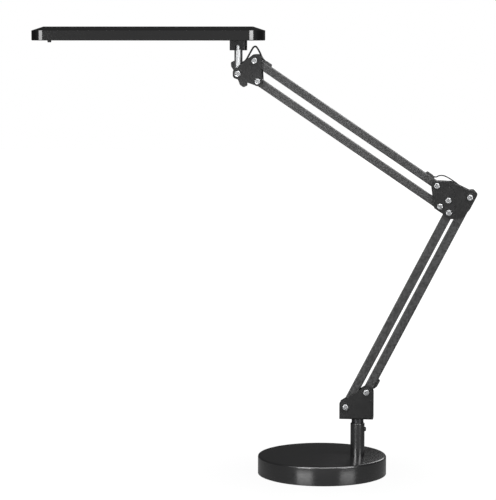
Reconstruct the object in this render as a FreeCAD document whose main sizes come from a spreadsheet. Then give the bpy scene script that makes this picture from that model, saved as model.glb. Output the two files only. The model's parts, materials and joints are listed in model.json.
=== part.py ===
"""Desk lamp: a flat light bar on two parallel-bar arms, over a round weighted base.

The arms lie in the XZ plane and every pivot turns about Y. The front of the lamp looks
along -Y, +Z is up, and the origin is the centre of the base's underside.
Lengths are millimetres and angles are degrees.
"""

import FreeCAD, Part
import math
import os
import re
import Sketcher
from FreeCAD import Placement, Rotation, Vector

# Sizes that can be set by themselves.
SIZES = (
    # round base and upright post
    ("base_radius", 100.0, "outside of the round base cover"),
    ("base_height", 30.0, "table to the top of the base cover"),
    ("base_wall", 2.0, "sheet of the base cover"),
    ("base_edge", 1.6, "round on the cover's top edge"),
    ("base_lift", 1.0, "table to the cover's lower rim"),
    ("base_gap", 0.4, "weight and pad to the cover's wall"),
    ("pad_thick", 3.0, "soft pad under the weight"),
    ("bolt_radius", 5.0, "post bolt's shank"),
    ("bolt_flat", 8.0, "half of the post bolt's width across flats"),
    ("bolt_head", 6.4, "height of the post bolt's head"),
    ("bolt_depth", 28.0, "length of the post bolt's shank"),
    ("flange_radius", 11.5, "flange under the post bolt's head"),
    ("flange_thick", 2.0, "flange under the post bolt's head"),
    ("recess_radius", 13.0, "recess for the bolt's head in the weight"),
    ("recess_height", 15.0, "table to the recess's ceiling"),
    ("inlet_height", 13.0, "table to the cable bush's axis"),
    ("inlet_radius", 4.4, "cable bush in the cover's wall"),
    ("inlet_bore", 2.4, "hole through the cable bush"),
    ("inlet_flange", 1.9, "cable bush's rim beyond its neck, and the rim's thickness"),
    ("post_x", 55.3, "base centre to the post's axis"),
    ("post_radius", 11.0, "outside of the post tube"),
    ("post_wall", 2.0, "wall of the post tube"),
    ("post_height", 51.4, "length of the post tube"),
    ("post_plug", 14.0, "height of the threaded plug in the post's foot"),
    ("bush_wall", 1.6, "nylon bush between the post and the spigot"),
    ("bush_depth", 33.0, "length of the bush inside the post"),
    ("bush_flange", 1.0, "bush's rim on top of the post"),
    ("set_screw_drop", 9.5, "post's top to the set screw's axis"),
    ("set_screw_radius", 2.4, "set screw's shank"),
    ("set_screw_head", 2.3, "set screw's head, its thickness"),
    ("groove_depth", 1.5, "groove in the spigot for the set screw's tip"),
    ("neck_radius", 9.3, "spigot's neck between the post and the bracket"),
    ("neck_height", 5.9, "spigot's neck"),
    ("stud_radius", 4.0, "spigot's threaded top"),
    ("stud_nut", 6.5, "nut on the spigot, its height"),
    ("stud_nut_flat", 6.5, "half of that nut's width across flats"),
    # pivots
    ("foot_back", 18.1, "post's axis back to the left foot pivot"),
    ("foot_rise", 19.0, "bracket's underside to the left foot pivot"),
    ("lower_link", 39.9, "foot pivot to foot pivot, as at the elbow"),
    ("lower_link_angle", 36.2, "rise of the lower link line"),
    ("lower_length", 342.0, "lower bars, pivot to pivot"),
    ("lower_angle", 62.7, "rise of the lower bars"),
    ("elbow_step_x", 13.4, "left elbow pivot back to the low upper-arm pivot"),
    ("elbow_step_z", 9.7, "left elbow pivot up to the low upper-arm pivot"),
    ("spacer_step_x", 0.6, "left elbow pivot back to the spacer bolt"),
    ("spacer_step_z", 19.0, "left elbow pivot up to the spacer bolt"),
    ("upper_link", 32.0, "upper-arm pivot to pivot, as at the wrist"),
    ("upper_link_angle", 99.0, "direction of the upper link line"),
    ("upper_length", 338.9, "upper bars, pivot to pivot"),
    ("upper_angle", 145.96, "direction of the upper bars"),
    ("tilt_step_x", 31.0, "low wrist pivot back to the tilt pivot"),
    ("tilt_step_z", 11.6, "low wrist pivot up to the tilt pivot"),
    # what every pivot has
    ("eye_half", 7.4, "half of a bar end's thickness"),
    ("disc_thick", 0.8, "friction disc"),
    ("disc_radius", 6.0, "friction disc"),
    ("face_gap", 0.1, "running gap between flat faces"),
    ("run_gap", 0.08, "radial running clearance of a shaft"),
    ("hole_gap", 0.15, "radial clearance of a screw in a plate"),
    ("fit_gap", 0.05, "clearance of pieces that are pushed together"),
    ("sleeve_radius", 4.0, "steel sleeve that a bar turns on"),
    ("screw_radius", 2.5, "pivot screw's shank"),
    ("head_radius", 4.7, "pivot screw's head"),
    ("head_height", 2.6, "pivot screw's head"),
    ("cross_depth", 1.3, "cross recess in a screw's head"),
    ("nut_flat", 4.0, "half of a pivot nut's width across flats"),
    ("nut_thick", 4.6, "pivot nut"),
    ("thread_tail", 1.4, "thread beyond a nut"),
    # sheet-metal plates
    ("plate_thick", 2.4, "bracket and elbow plates"),
    ("cheek_thick", 1.6, "stepped cheek on the elbow plates"),
    ("boss_rise", 0.6, "pressed boss round a screw"),
    ("boss_radius", 7.2, "pressed boss round a screw"),
    ("rib_width", 3.4, "pressed rib between two pivots"),
    ("edge_rib", 1.6, "width of a pressed rib along an edge"),
    ("rib_rise", 0.9, "height of a pressed rib"),
    ("bend_radius", 2.6, "outside of the bracket's folded edge"),
    # square bars
    ("lower_bar", 14.0, "side of a lower tube"),
    ("lower_wall", 1.3, "wall of a lower tube"),
    ("upper_bar", 12.3, "side of an upper tube"),
    ("upper_wall", 1.2, "wall of an upper tube"),
    ("bar_edge", 1.5, "round on a tube's long edges"),
    ("tube_inset", 12.0, "pivot to the tube's end"),
    ("plug_depth", 18.0, "end plug inside a tube"),
    ("hood_start", 10.0, "pivot to the near end of a cable hood"),
    ("hood_slope", 5.0, "length of the slope at a cable hood's near end"),
    ("hood_end", 26.0, "pivot to the far end of a cable hood"),
    ("hood_rise", 3.4, "cable hood above its tube"),
    ("hood_half", 4.6, "half of a cable hood's width"),
    # tilt joint and stem
    ("tilt_bolt", 3.0, "clamp bolt's shank"),
    ("barrel_radius", 7.4, "stem's cross barrel on the clamp bolt"),
    ("stem_radius", 6.3, "bright stem"),
    ("stem_bore", 2.6, "cable way up the stem"),
    ("stem_rise", 36.0, "tilt pivot to the turret's underside"),
    ("stem_window", 8.6, "turret's underside to the top of its arched window"),
    ("spigot_top", 4.4, "stem's thin top end in the turret"),
    ("stem_nut_thick", 4.0, "nut on the stem's top end"),
    ("stem_nut_flat", 5.6, "half of the stem nut's width across flats"),
    ("cable_hole", 2.1, "cable entry in the stem"),
    ("cable_rise", 8.6, "stem's barrel up to the cable entry's axis"),
    ("knob_hub", 7.6, "wing knob's hub"),
    ("knob_reach", 21.6, "clamp bolt's axis to a wing's tip"),
    ("knob_tip", 5.8, "half of a wing's width"),
    ("knob_shift", 1.3, "wings' middle line beside the bolt's axis"),
    ("knob_thick", 12.0, "wing knob, front to back"),
    ("knob_angle", 115.5, "direction of the upper wing"),
    ("knob_scallop", 0.6, "how far each side of the knob curves in"),
    # light bar
    ("turret_half", 12.5, "half of the turret's length"),
    ("turret_depth", 11.5, "half of the turret's width"),
    ("turret_height", 15.0, "turret"),
    ("turret_edge", 3.0, "round on the turret's upright edges"),
    ("light_left", 322.2, "stem's axis to the free end of the light bar"),
    ("light_right", 40.2, "stem's axis to the near end of the light bar"),
    ("light_width", 64.0, "light bar, front to back"),
    ("light_side", 15.4, "upright side of the light bar"),
    ("light_crown", 6.1, "rise of the sloped top border"),
    ("light_border", 18.5, "width of the sloped top border"),
    ("light_corner", 22.0, "light bar's corners, seen from above"),
    ("light_wall", 1.8, "wall of the light bar's housing"),
    ("light_rim", 0.8, "round on the housing's lower rim"),
    ("light_plate", 1.6, "bottom plate of the light bar"),
    ("window_half", 22.0, "half of the light window's width"),
    ("window_left", 288.0, "stem's axis to the window's far end"),
    ("window_right", 24.0, "stem's axis to the window's near end"),
    ("panel_thick", 2.0, "opal panel over the window"),
    ("panel_lap", 3.0, "opal panel beyond the window's edge"),
    ("trough_wall", 1.0, "white reflector trough"),
    ("trough_half", 11.0, "half of the trough's ceiling"),
    ("board_thick", 1.6, "circuit boards"),
    ("board_half", 8.0, "half of the light board's width"),
    ("chip_size", 3.0, "light-emitting chip"),
    ("chip_height", 0.7, "light-emitting chip"),
    ("chip_count", 26.0, "light-emitting chips on the board"),
    ("button_offset", 296.5, "stem's axis to the button's axis"),
    ("button_radius", 3.0, "push button"),
    ("button_proud", 3.0, "push button below the bottom plate"),
    ("button_travel", 1.0, "push button"),
    ("button_flange", 1.2, "push button's retaining rim"),
    ("switch_half", 4.0, "half of the switch's side"),
    ("switch_height", 5.0, "switch over the button"),
    ("leg_reach", 9.0, "button's axis to the switch frame's legs"),
    ("driver_half", 9.5, "half of the driver board's length"),
    ("driver_width", 17.0, "half of the driver board's width"),
    ("driver_offset", 19.5, "stem's axis to the driver board's middle"),
    ("driver_lift", 4.0, "bottom plate to the driver board"),
    ("small_screw", 1.5, "screws of the turret and the bottom plate"),
    ("small_head", 0.9, "height of those screws' heads, sunk in the bottom plate"),
    ("screw_depth", 7.0, "length of those screws"),
    ("screw_boss", 3.2, "housing's bosses for the bottom plate's screws"),
    ("screw_side", 23.0, "light bar's middle line to those bosses"),
    # jumper cables
    ("cable_radius", 1.3, "cable at the wrist"),
    ("thin_cable_radius", 1.0, "cable at the elbow"),
)

# Sizes that follow from the ones above.
FOLLOWS = (
    ("post_top", "base_height + post_height"),
    ("weight_top", "base_height - base_wall"),
    ("post_bore", "post_radius - post_wall"),
    ("bush_radius", "post_bore - fit_gap"),
    ("spigot_radius", "bush_radius - bush_wall - run_gap"),
    ("set_screw_z", "post_top - set_screw_drop"),
    ("neck_foot", "post_top + bush_flange + face_gap"),
    ("bracket_foot", "neck_foot + neck_height"),
    ("foot_left_x", "post_x - foot_back"),
    ("foot_left_z", "bracket_foot + foot_rise"),
    ("foot_right_x", "foot_left_x + lower_link * cos(lower_link_angle)"),
    ("foot_right_z", "foot_left_z + lower_link * sin(lower_link_angle)"),
    ("elbow_left_x", "foot_left_x + lower_length * cos(lower_angle)"),
    ("elbow_left_z", "foot_left_z + lower_length * sin(lower_angle)"),
    ("elbow_right_x", "foot_right_x + lower_length * cos(lower_angle)"),
    ("elbow_right_z", "foot_right_z + lower_length * sin(lower_angle)"),
    ("elbow_low_x", "elbow_left_x - elbow_step_x"),
    ("elbow_low_z", "elbow_left_z + elbow_step_z"),
    ("elbow_top_x", "elbow_low_x + upper_link * cos(upper_link_angle)"),
    ("elbow_top_z", "elbow_low_z + upper_link * sin(upper_link_angle)"),
    ("spacer_x", "elbow_left_x - spacer_step_x"),
    ("spacer_z", "elbow_left_z + spacer_step_z"),
    ("wrist_low_x", "elbow_low_x + upper_length * cos(upper_angle)"),
    ("wrist_low_z", "elbow_low_z + upper_length * sin(upper_angle)"),
    ("wrist_top_x", "elbow_top_x + upper_length * cos(upper_angle)"),
    ("wrist_top_z", "elbow_top_z + upper_length * sin(upper_angle)"),
    ("tilt_x", "wrist_low_x - tilt_step_x"),
    ("tilt_z", "wrist_low_z + tilt_step_z"),
    ("plate_inner", "eye_half + face_gap + disc_thick"),
    ("plate_outer", "plate_inner + plate_thick"),
    ("cheek_outer", "plate_outer + cheek_thick"),
    ("turret_foot", "tilt_z + stem_rise"),
    ("light_foot", "turret_foot + turret_height"),
    ("panel_foot", "light_plate"),
    ("panel_top", "light_plate + panel_thick"),
    ("light_top", "light_side + light_crown"),
    ("ceiling", "light_top - light_wall"),
    ("heat_thick", "2.4"),
    ("trough_top", "ceiling - heat_thick"),
    ("turret_screw", "turret_half - 2.8"),
    ("screw_far", "20 - light_left"),
    ("screw_near", "light_right - 16"),
    ("window_length", "window_left - window_right"),
    ("window_middle", "(window_left + window_right) / 2"),
    ("seat_radius", "sleeve_radius + run_gap"),
    ("bolt_hole", "tilt_bolt + hole_gap"),
    ("screw_hole", "screw_radius + hole_gap"),
)

doc = FreeCAD.newDocument("desk_lamp")
sheet = doc.addObject("Spreadsheet::Sheet", "Sizes")
NAMES = {row[0] for row in SIZES + FOLLOWS}
pieces = []


def text(expression):
    """The expression with every size name pointed at the sheet."""
    return re.sub(
        r"[a-z_]+",
        lambda word: "Sizes." + word.group() if word.group() in NAMES else word.group(),
        expression,
    )


def fill_sheet():
    """Write the set sizes as plain numbers, and the others as formulas of them."""
    row = 0
    for name, value, note in SIZES:
        row += 1
        sheet.set(f"A{row}", note)
        sheet.set(f"B{row}", str(value))
        sheet.setAlias(f"B{row}", name)
    for name, formula in FOLLOWS:
        row += 1
        sheet.set(f"B{row}", "=" + formula)
        sheet.setAlias(f"B{row}", name)
    doc.recompute()


def size(name):
    """A size's number, for what is worked out in code."""
    return float(sheet.get(name))


def bind(thing, field, expression):
    """Tie a property to an expression of named sizes."""
    thing.setExpression(field, text(expression))


def new_body(label):
    """An empty body that becomes one sub-part."""
    body = doc.addObject("PartDesign::Body", label)
    body.Label = label
    pieces.append(body)
    return body


def new_master(label):
    """A body that is only copied, such as one screw of a set."""
    body = new_body(label)
    pieces.remove(body)
    return body


def place(thing, x="0", y="0", z="0", axis=(0, -1, 0), angle="0"):
    """Put a sub-part at a point, turned about one axis through it."""
    thing.Placement = Placement(Vector(0, 0, 0), Rotation(Vector(*axis), 1))
    for field, expression in zip("xyz", (x, y, z)):
        bind(thing, f"Placement.Base.{field}", expression)
    for field, value in zip("xyz", axis):
        thing.setExpression(f"Placement.Rotation.Axis.{field}", str(value))
    bind(thing, "Placement.Rotation.Angle", angle)


def sketch(body, plane, at="0"):
    """A sketch on one of the body's origin planes, moved along that plane's normal."""
    drawing = body.newObject("Sketcher::SketchObject", body.Name + "_sketch")
    base = [feature for feature in body.Origin.OriginFeatures if feature.Role == plane + "_Plane"]
    drawing.AttachmentSupport = [(base[0], "")]
    drawing.MapMode = "FlatFace"
    bind(drawing, "AttachmentOffset.Base.z", at)
    return drawing


def pin_point(drawing, element, point, spot, x, y):
    """Hold one point of a sketch at two expressions; spot is where it is drawn first."""
    for kind, start, expression in (("DistanceX", spot[0], x), ("DistanceY", spot[1], y)):
        number = drawing.addConstraint(Sketcher.Constraint(kind, -1, 1, element, point, start))
        drawing.renameConstraint(number, f"hold{number}")
        bind(drawing, f"Constraints.hold{number}", expression)


def outline(drawing, corners):
    """A closed outline of straight sides through the corners."""
    count = len(corners)
    first = drawing.GeometryCount
    turns = [math.tau * (index + 0.3) / count for index in range(count)]
    spots = [(20 * math.cos(turn), 20 * math.sin(turn)) for turn in turns]
    for index in range(count):
        start = Vector(*spots[index], 0)
        end = Vector(*spots[(index + 1) % count], 0)
        drawing.addGeometry(Part.LineSegment(start, end), False)
    for index in range(count):
        after = first + (index + 1) % count
        drawing.addConstraint(Sketcher.Constraint("Coincident", first + index, 2, after, 1))
    for index, (x, y) in enumerate(corners):
        pin_point(drawing, first + index, 1, spots[index], x, y)


def box(drawing, x_low, x_high, y_low, y_high):
    """A rectangular outline."""
    outline(drawing, [(x_low, y_low), (x_high, y_low), (x_high, y_high), (x_low, y_high)])


def circle(drawing, x, y, radius):
    """A circle in a sketch."""
    spot = (1.0 + drawing.GeometryCount, 1.0)
    number = drawing.addGeometry(Part.Circle(Vector(*spot, 0), Vector(0, 0, 1), 1.0), False)
    pin_point(drawing, number, 3, spot, x, y)
    constraint = drawing.addConstraint(Sketcher.Constraint("Radius", number, 1.0))
    drawing.renameConstraint(constraint, f"radius{constraint}")
    bind(drawing, f"Constraints.radius{constraint}", radius)


def hexagon(drawing, flat):
    """A hexagon about the sketch's origin; flat is half of its width across flats."""
    corner = f"{flat} / cos(30)"
    corners = [(f"{corner} * cos({60 * side})", f"{corner} * sin({60 * side})") for side in range(6)]
    outline(drawing, corners)


def feature(body, kind, drawing=None):
    """Add a feature to the body and make it the body's tip."""
    added = body.newObject("PartDesign::" + kind, f"{body.Name}_{kind}")
    if drawing:
        added.Profile = drawing
    body.Tip = added
    return added


def pad(body, drawing, length, both=False):
    """Extrude a sketch along its normal, or to both sides of it."""
    added = feature(body, "Pad", drawing)
    added.SideType = "Symmetric" if both else "One side"
    bind(added, "Length", length)
    return added


def pocket(body, drawing, length, both=False):
    """Cut a sketch against its normal, or to both sides of it."""
    added = feature(body, "Pocket", drawing)
    added.SideType = "Symmetric" if both else "One side"
    bind(added, "Length", length)
    return added


def spin(body, corners):
    """Turn a half profile in XZ, given as (radius, height) corners, about the Z axis."""
    drawing = sketch(body, "XZ")
    outline(drawing, corners)
    added = feature(body, "Revolution", drawing)
    added.ReferenceAxis = (drawing, ["V_Axis"])
    added.Angle = 360
    return added


def dress(body, kind, radius, wanted, **settings):
    """Fillet or chamfer those edges of the body's tip that the test wants."""
    doc.recompute()
    base = body.Tip
    names = [f"Edge{number}" for number, edge in enumerate(base.Shape.Edges, 1) if wanted(edge)]
    if not names:
        raise ValueError(f"{body.Label}: no edge to {kind.lower()}")
    added = feature(body, kind)
    added.Base = (base, names)
    for field, value in settings.items():
        setattr(added, field, value)
    bind(added, "Radius" if kind == "Fillet" else "Size", radius)
    return added


def direction(edge):
    """The edge's direction at its start."""
    return edge.tangentAt(edge.FirstParameter)


def runs_along(axis):
    """Test for straight edges along one axis: 0, 1 or 2."""
    return lambda edge: edge.Curve.TypeId == "Part::GeomLine" and abs(direction(edge)[axis]) > 0.999


def at_corner(drawing, numbers):
    """Test for the straight edges along Y over the named corners of a sketch in XZ."""
    doc.recompute()
    starts = [drawing.Geometry[number].StartPoint for number in numbers]

    def wanted(edge):
        middle = edge.CenterOfMass
        near = [math.hypot(middle.x - spot.x, middle.z - spot.y) < 0.01 for spot in starts]
        return runs_along(1)(edge) and any(near)

    return wanted


def level(height, radius=None):
    """Test for edges that lie at one height, or only the circles there of one radius."""

    def wanted(edge):
        flat = abs(edge.BoundBox.ZMin - height) < 0.01 and abs(edge.BoundBox.ZMax - height) < 0.01
        if radius is None:
            return flat
        return flat and hasattr(edge.Curve, "Radius") and abs(edge.Curve.Radius - radius) < 0.01

    return wanted


TURNS = {"up": "0", "front": "90", "down": "180", "rear": "-90"}


def copies(label, master, spots):
    """One sub-part of several equal pieces; spots are (x, y, z, turned) expressions."""
    links = []
    for x, y, z, turned in spots:
        link = doc.addObject("App::Link", label + "_copy")
        link.LinkedObject = master
        place(link, x, y, z, (1, 0, 0), TURNS[turned])
        links.append(link)
    group = doc.addObject("Part::Compound", label)
    group.Label = label
    group.Links = links
    pieces.append(group)
    return group


# ---------------------------------------------------------------- base and post


def make_base_cover():
    """Deep-drawn round lid, open below, with holes for the post bolt and the cable bush."""
    body = new_body("base_cover")
    disc = sketch(body, "XY", "base_lift")
    circle(disc, "0", "0", "base_radius")
    pad(body, disc, "base_height - base_lift")
    top = level(size("base_height"), size("base_radius"))
    dress(body, "Fillet", "base_edge", top)
    inside = sketch(body, "XY", "weight_top")
    circle(inside, "0", "0", "base_radius - base_wall")
    pocket(body, inside, "weight_top - base_lift")
    bolt = sketch(body, "XY", "base_height")
    circle(bolt, "post_x", "0", "bolt_radius + hole_gap")
    pocket(body, bolt, "base_wall")
    cable = sketch(body, "XZ", "-(base_radius - 2 * base_wall)")
    circle(cable, "0", "inlet_height", "inlet_radius + hole_gap")
    pocket(body, cable, "3 * base_wall")


def make_base_weight():
    """Cast-iron disc with a recess for the bolt's head and a notch for the cable bush."""
    body = new_body("base_weight")
    disc = sketch(body, "XY", "pad_thick")
    circle(disc, "0", "0", "base_radius - base_wall - base_gap")
    pad(body, disc, "weight_top - pad_thick")
    recess = sketch(body, "XY", "recess_height")
    circle(recess, "post_x", "0", "recess_radius")
    pocket(body, recess, "recess_height - pad_thick")
    bolt = sketch(body, "XY", "weight_top")
    circle(bolt, "post_x", "0", "bolt_radius + hole_gap")
    pocket(body, bolt, "weight_top - recess_height")
    notch = sketch(body, "XY", "weight_top")
    side = "inlet_radius + 2 * inlet_flange"
    box(notch, f"-({side})", side, "base_radius - base_wall - 3 * inlet_flange - 1", "base_radius")
    pocket(body, notch, "weight_top - pad_thick")


def make_base_pad():
    """Soft round pad that the lamp stands on."""
    body = new_body("base_pad")
    disc = sketch(body, "XY")
    circle(disc, "0", "0", "base_radius - base_wall - base_gap")
    pad(body, disc, "pad_thick")
    dress(body, "Chamfer", "base_lift / 2", level(0))


def make_cable_bush():
    """Rubber bush in the rear wall of the cover: two rims and a neck in the hole."""
    body = new_body("cable_bush")
    rim = "inlet_radius + inlet_flange"
    wall = "(base_wall + 2 * face_gap + 0.4)"
    profile = [
        ("inlet_bore", "-inlet_flange"),
        (rim, "-inlet_flange"),
        (rim, "0"),
        ("inlet_radius", "0"),
        ("inlet_radius", wall),
        (rim, wall),
        (f"{rim} - 0.8", f"{wall} + inlet_flange"),
        ("inlet_bore", f"{wall} + inlet_flange"),
    ]
    spin(body, profile)
    place(body, "0", "base_radius - base_wall - 0.4 - face_gap", "inlet_height", (1, 0, 0), "-90")


def make_post():
    """Upright tube, its threaded foot plug, the flange bolt below, and the nylon bush."""
    tube = new_body("post_tube")
    ring = sketch(tube, "XY", "base_height")
    circle(ring, "post_x", "0", "post_radius")
    circle(ring, "post_x", "0", "post_bore")
    pad(tube, ring, "post_height")
    dress(tube, "Chamfer", "post_wall / 3", level(size("post_top"), size("post_radius")))
    side = sketch(tube, "YZ", "post_x + post_radius + 1")
    circle(side, "0", "set_screw_z", "set_screw_radius + hole_gap")
    pocket(tube, side, "2 * post_wall + 1")

    plug = new_body("post_foot_plug")
    disc = sketch(plug, "XY", "base_height")
    circle(disc, "post_x", "0", "post_bore - fit_gap")
    circle(disc, "post_x", "0", "bolt_radius + fit_gap")
    pad(plug, disc, "post_plug")

    bolt = new_body("post_bolt")
    head = sketch(bolt, "XY", "-bolt_head")
    hexagon(head, "bolt_flat")
    pad(bolt, head, "bolt_head")
    flange = sketch(bolt, "XY", "-flange_thick")
    circle(flange, "0", "0", "flange_radius")
    pad(bolt, flange, "flange_thick")
    shank = sketch(bolt, "XY")
    circle(shank, "0", "0", "bolt_radius")
    pad(bolt, shank, "bolt_depth")
    place(bolt, "post_x", "0", "recess_height")

    bush = new_body("post_bush")
    inner = "spigot_radius + run_gap"
    profile = [
        (inner, "-bush_depth"),
        ("bush_radius", "-bush_depth"),
        ("bush_radius", "0"),
        ("neck_radius", "0"),
        ("neck_radius", "bush_flange"),
        (inner, "bush_flange"),
    ]
    spin(bush, profile)
    side = sketch(bush, "YZ", "post_radius")
    circle(side, "0", "-set_screw_drop", "set_screw_radius + hole_gap")
    pocket(bush, side, "post_radius - 1")
    place(bush, "post_x", "0", "post_top")


def make_set_screw():
    """Round-headed screw whose tip keeps the spigot from lifting out of the post."""
    body = new_body("post_set_screw")
    tip = "-(post_radius - spigot_radius + groove_depth - 0.4)"
    profile = [
        ("0", tip),
        ("set_screw_radius - 0.5", tip),
        ("set_screw_radius", f"{tip} + 0.5"),
        ("set_screw_radius", "0"),
        ("set_screw_radius + 0.9", "0"),
        ("set_screw_radius + 0.9", "set_screw_head - 0.7"),
        ("set_screw_radius", "set_screw_head"),
        ("0", "set_screw_head"),
    ]
    spin(body, profile)
    place(body, "post_x + post_radius", "0", "set_screw_z", (0, 1, 0), "90")


def make_spigot():
    """Turned steel spigot: it turns in the post and its threaded top holds the bracket."""
    body = new_body("swivel_spigot")
    groove = "set_screw_radius + 0.5"
    waist = "spigot_radius - groove_depth"
    stud = "bracket_foot - post_top + plate_thick + stud_nut + thread_tail"
    profile = [
        ("0", "-bush_depth + 1"),
        ("spigot_radius - 0.8", "-bush_depth + 1"),
        ("spigot_radius", "-bush_depth + 1.8"),
        ("spigot_radius", f"-set_screw_drop - ({groove})"),
        (waist, f"-set_screw_drop - ({groove})"),
        (waist, f"-set_screw_drop + ({groove})"),
        ("spigot_radius", f"-set_screw_drop + ({groove})"),
        ("spigot_radius", "neck_foot - post_top"),
        ("neck_radius", "neck_foot - post_top"),
        ("neck_radius", "bracket_foot - post_top"),
        ("stud_radius", "bracket_foot - post_top"),
        ("stud_radius", stud),
        ("0", stud),
    ]
    spin(body, profile)
    place(body, "post_x", "0", "post_top")

    nut = new_body("spigot_nut")
    ring = sketch(nut, "XY")
    hexagon(ring, "stud_nut_flat")
    circle(ring, "0", "0", "stud_radius + fit_gap")
    pad(nut, ring, "stud_nut")
    place(nut, "post_x", "0", "bracket_foot + plate_thick")


# ---------------------------------------------------------------- brackets and plates


def make_lower_bracket():
    """Folded U bracket: two cheeks joined by a web that sits on the spigot's neck."""
    body = new_body("lower_bracket")
    side = sketch(body, "XZ")
    corners = [
        ("foot_left_x - 9.6", "bracket_foot"),
        ("foot_right_x + 10.2", "bracket_foot"),
        ("foot_right_x + 10.2", "foot_right_z + 16.8"),
        ("foot_left_x - 9.6", "foot_left_z + 7"),
    ]
    outline(side, corners)
    pad(body, side, "2 * plate_outer", True)
    dress(body, "Fillet", "boss_radius + 2.8", at_corner(side, (2,)))
    dress(body, "Fillet", "bend_radius", at_corner(side, (3,)))
    channel = sketch(body, "YZ", "foot_right_x + 11")
    box(channel, "-plate_inner", "plate_inner", "bracket_foot + plate_thick", "foot_right_z + 20")
    pocket(body, channel, "foot_right_x - foot_left_x + 24")
    folded = level(size("bracket_foot"))
    dress(body, "Fillet", "bend_radius", lambda edge: folded(edge) and runs_along(0)(edge))
    add_bosses(body, (("foot_left_x", "foot_left_z"), ("foot_right_x", "foot_right_z")), "plate_outer")
    bead = sketch(body, "XZ")
    box(bead, "foot_right_x + 5.6", "foot_right_x + 7.6", "bracket_foot + 6", "foot_right_z - 12")
    pad(body, bead, "2 * (plate_outer + boss_rise)", True)
    inside = sketch(body, "YZ", "foot_right_x + 11")
    box(inside, "-plate_inner", "plate_inner", "bracket_foot + plate_thick", "foot_right_z + 20")
    pocket(body, inside, "foot_right_x - foot_left_x + 24")
    spots = (("foot_left_x", "foot_left_z"), ("foot_right_x", "foot_right_z"))
    drill(body, spots, "screw_hole", "3 * plate_outer")
    web = sketch(body, "XY", "bracket_foot + 2 * plate_thick")
    circle(web, "post_x", "0", "stud_radius + hole_gap")
    pocket(body, web, "3 * plate_thick")


def add_bosses(body, spots, face):
    """Pressed bosses round screws, on the front and the rear faces."""
    for x, z in spots:
        ring = sketch(body, "XZ")
        circle(ring, x, z, "boss_radius")
        pad(body, ring, f"2 * ({face} + boss_rise)", True)


def drill(body, spots, radius, length):
    """Holes along Y through both sides of a body."""
    holes = sketch(body, "XZ")
    for x, z in spots:
        circle(holes, x, z, radius)
    pocket(body, holes, length, True)


def make_plate(label, corners, rounds, low, thick, holes, bosses=(), ribs=()):
    """Flat plate in XZ, low to low + thick in front of the arms' plane.

    rounds are (radius, corner numbers), holes are (x, z, radius), bosses are (x, z) and
    ribs are outlines pressed up from the outer face.
    """
    body = new_body(label)
    face = sketch(body, "XZ", low)
    outline(face, corners)
    pad(body, face, thick)
    for radius, numbers in rounds:
        dress(body, "Fillet", radius, at_corner(face, numbers))
    rear = "_rear_" in label
    outer = f"{low} + {thick}"
    for x, z in bosses:
        ring = sketch(body, "XZ", f"{low} - boss_rise" if rear else outer)
        circle(ring, x, z, "boss_radius")
        pad(body, ring, "boss_rise")
    for shape in ribs:
        rib = sketch(body, "XZ", f"{low} - rib_rise" if rear else outer)
        outline(rib, shape)
        pad(body, rib, "rib_rise")
    for radius in sorted({hole[2] for hole in holes}):
        drill(body, [hole[:2] for hole in holes if hole[2] == radius], radius, "4 * cheek_outer")
    return body


ELBOW_SPOTS = (
    ("elbow_left_x", "elbow_left_z"),
    ("elbow_right_x", "elbow_right_z"),
    ("elbow_low_x", "elbow_low_z"),
    ("elbow_top_x", "elbow_top_z"),
    ("spacer_x", "spacer_z"),
)
ELBOW_PLATE = (
    ("elbow_low_x - 9.2", "elbow_low_z - 2.5"),
    ("elbow_left_x + 3.4", "elbow_left_z - 9.8"),
    ("elbow_right_x - 12.4", "elbow_right_z - 31.4"),
    ("elbow_right_x - 0.6", "elbow_right_z - 19"),
    ("elbow_right_x + 11.4", "elbow_right_z + 4.2"),
    ("elbow_right_x + 4.8", "elbow_right_z + 11.9"),
    ("elbow_right_x - 2", "elbow_right_z + 11.4"),
    ("elbow_top_x + 21.4", "elbow_top_z + 6.6"),
    ("elbow_top_x - 10", "elbow_top_z + 7.8"),
)
ELBOW_CHEEK = (
    ("elbow_low_x - 9.2", "elbow_low_z - 2.5"),
    ("elbow_left_x + 3.4", "elbow_left_z - 9.8"),
    ("elbow_left_x + 8.6", "elbow_left_z - 6.8"),
    ("spacer_x + 9", "spacer_z + 13.2"),
    ("elbow_top_x + 11.4", "elbow_top_z + 6.8"),
    ("elbow_top_x - 10", "elbow_top_z + 7.8"),
)
WRIST_PLATE = (
    ("tilt_x - 7.6", "tilt_z - 6"),
    ("wrist_low_x + 7.4", "wrist_low_z - 9.6"),
    ("wrist_top_x + 10.2", "wrist_top_z + 10.2"),
    ("wrist_top_x - 1.4", "wrist_top_z + 10.2"),
    ("tilt_x - 7.6", "tilt_z + 5"),
)


def rib_between(start, end, gap, width, side):
    """Corners of a straight rib from near one pivot to near another, moved to one side."""
    dx = f"({end}_x - {start}_x)"
    dz = f"({end}_z - {start}_z)"
    run = f"sqrt({dx} ^ 2 + {dz} ^ 2)"
    corners = []
    for base, sign in ((start, 1), (start, -1), (end, -1), (end, 1)):
        along = f"{gap}" if base == start else f"-({gap})"
        across = f"({side} + {sign} * {width} / 2)"
        x = f"{base}_x + ({along} * {dx} - {across} * {dz}) / {run}"
        z = f"{base}_z + ({along} * {dz} + {across} * {dx}) / {run}"
        corners.append((x, z))
    return corners


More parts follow.
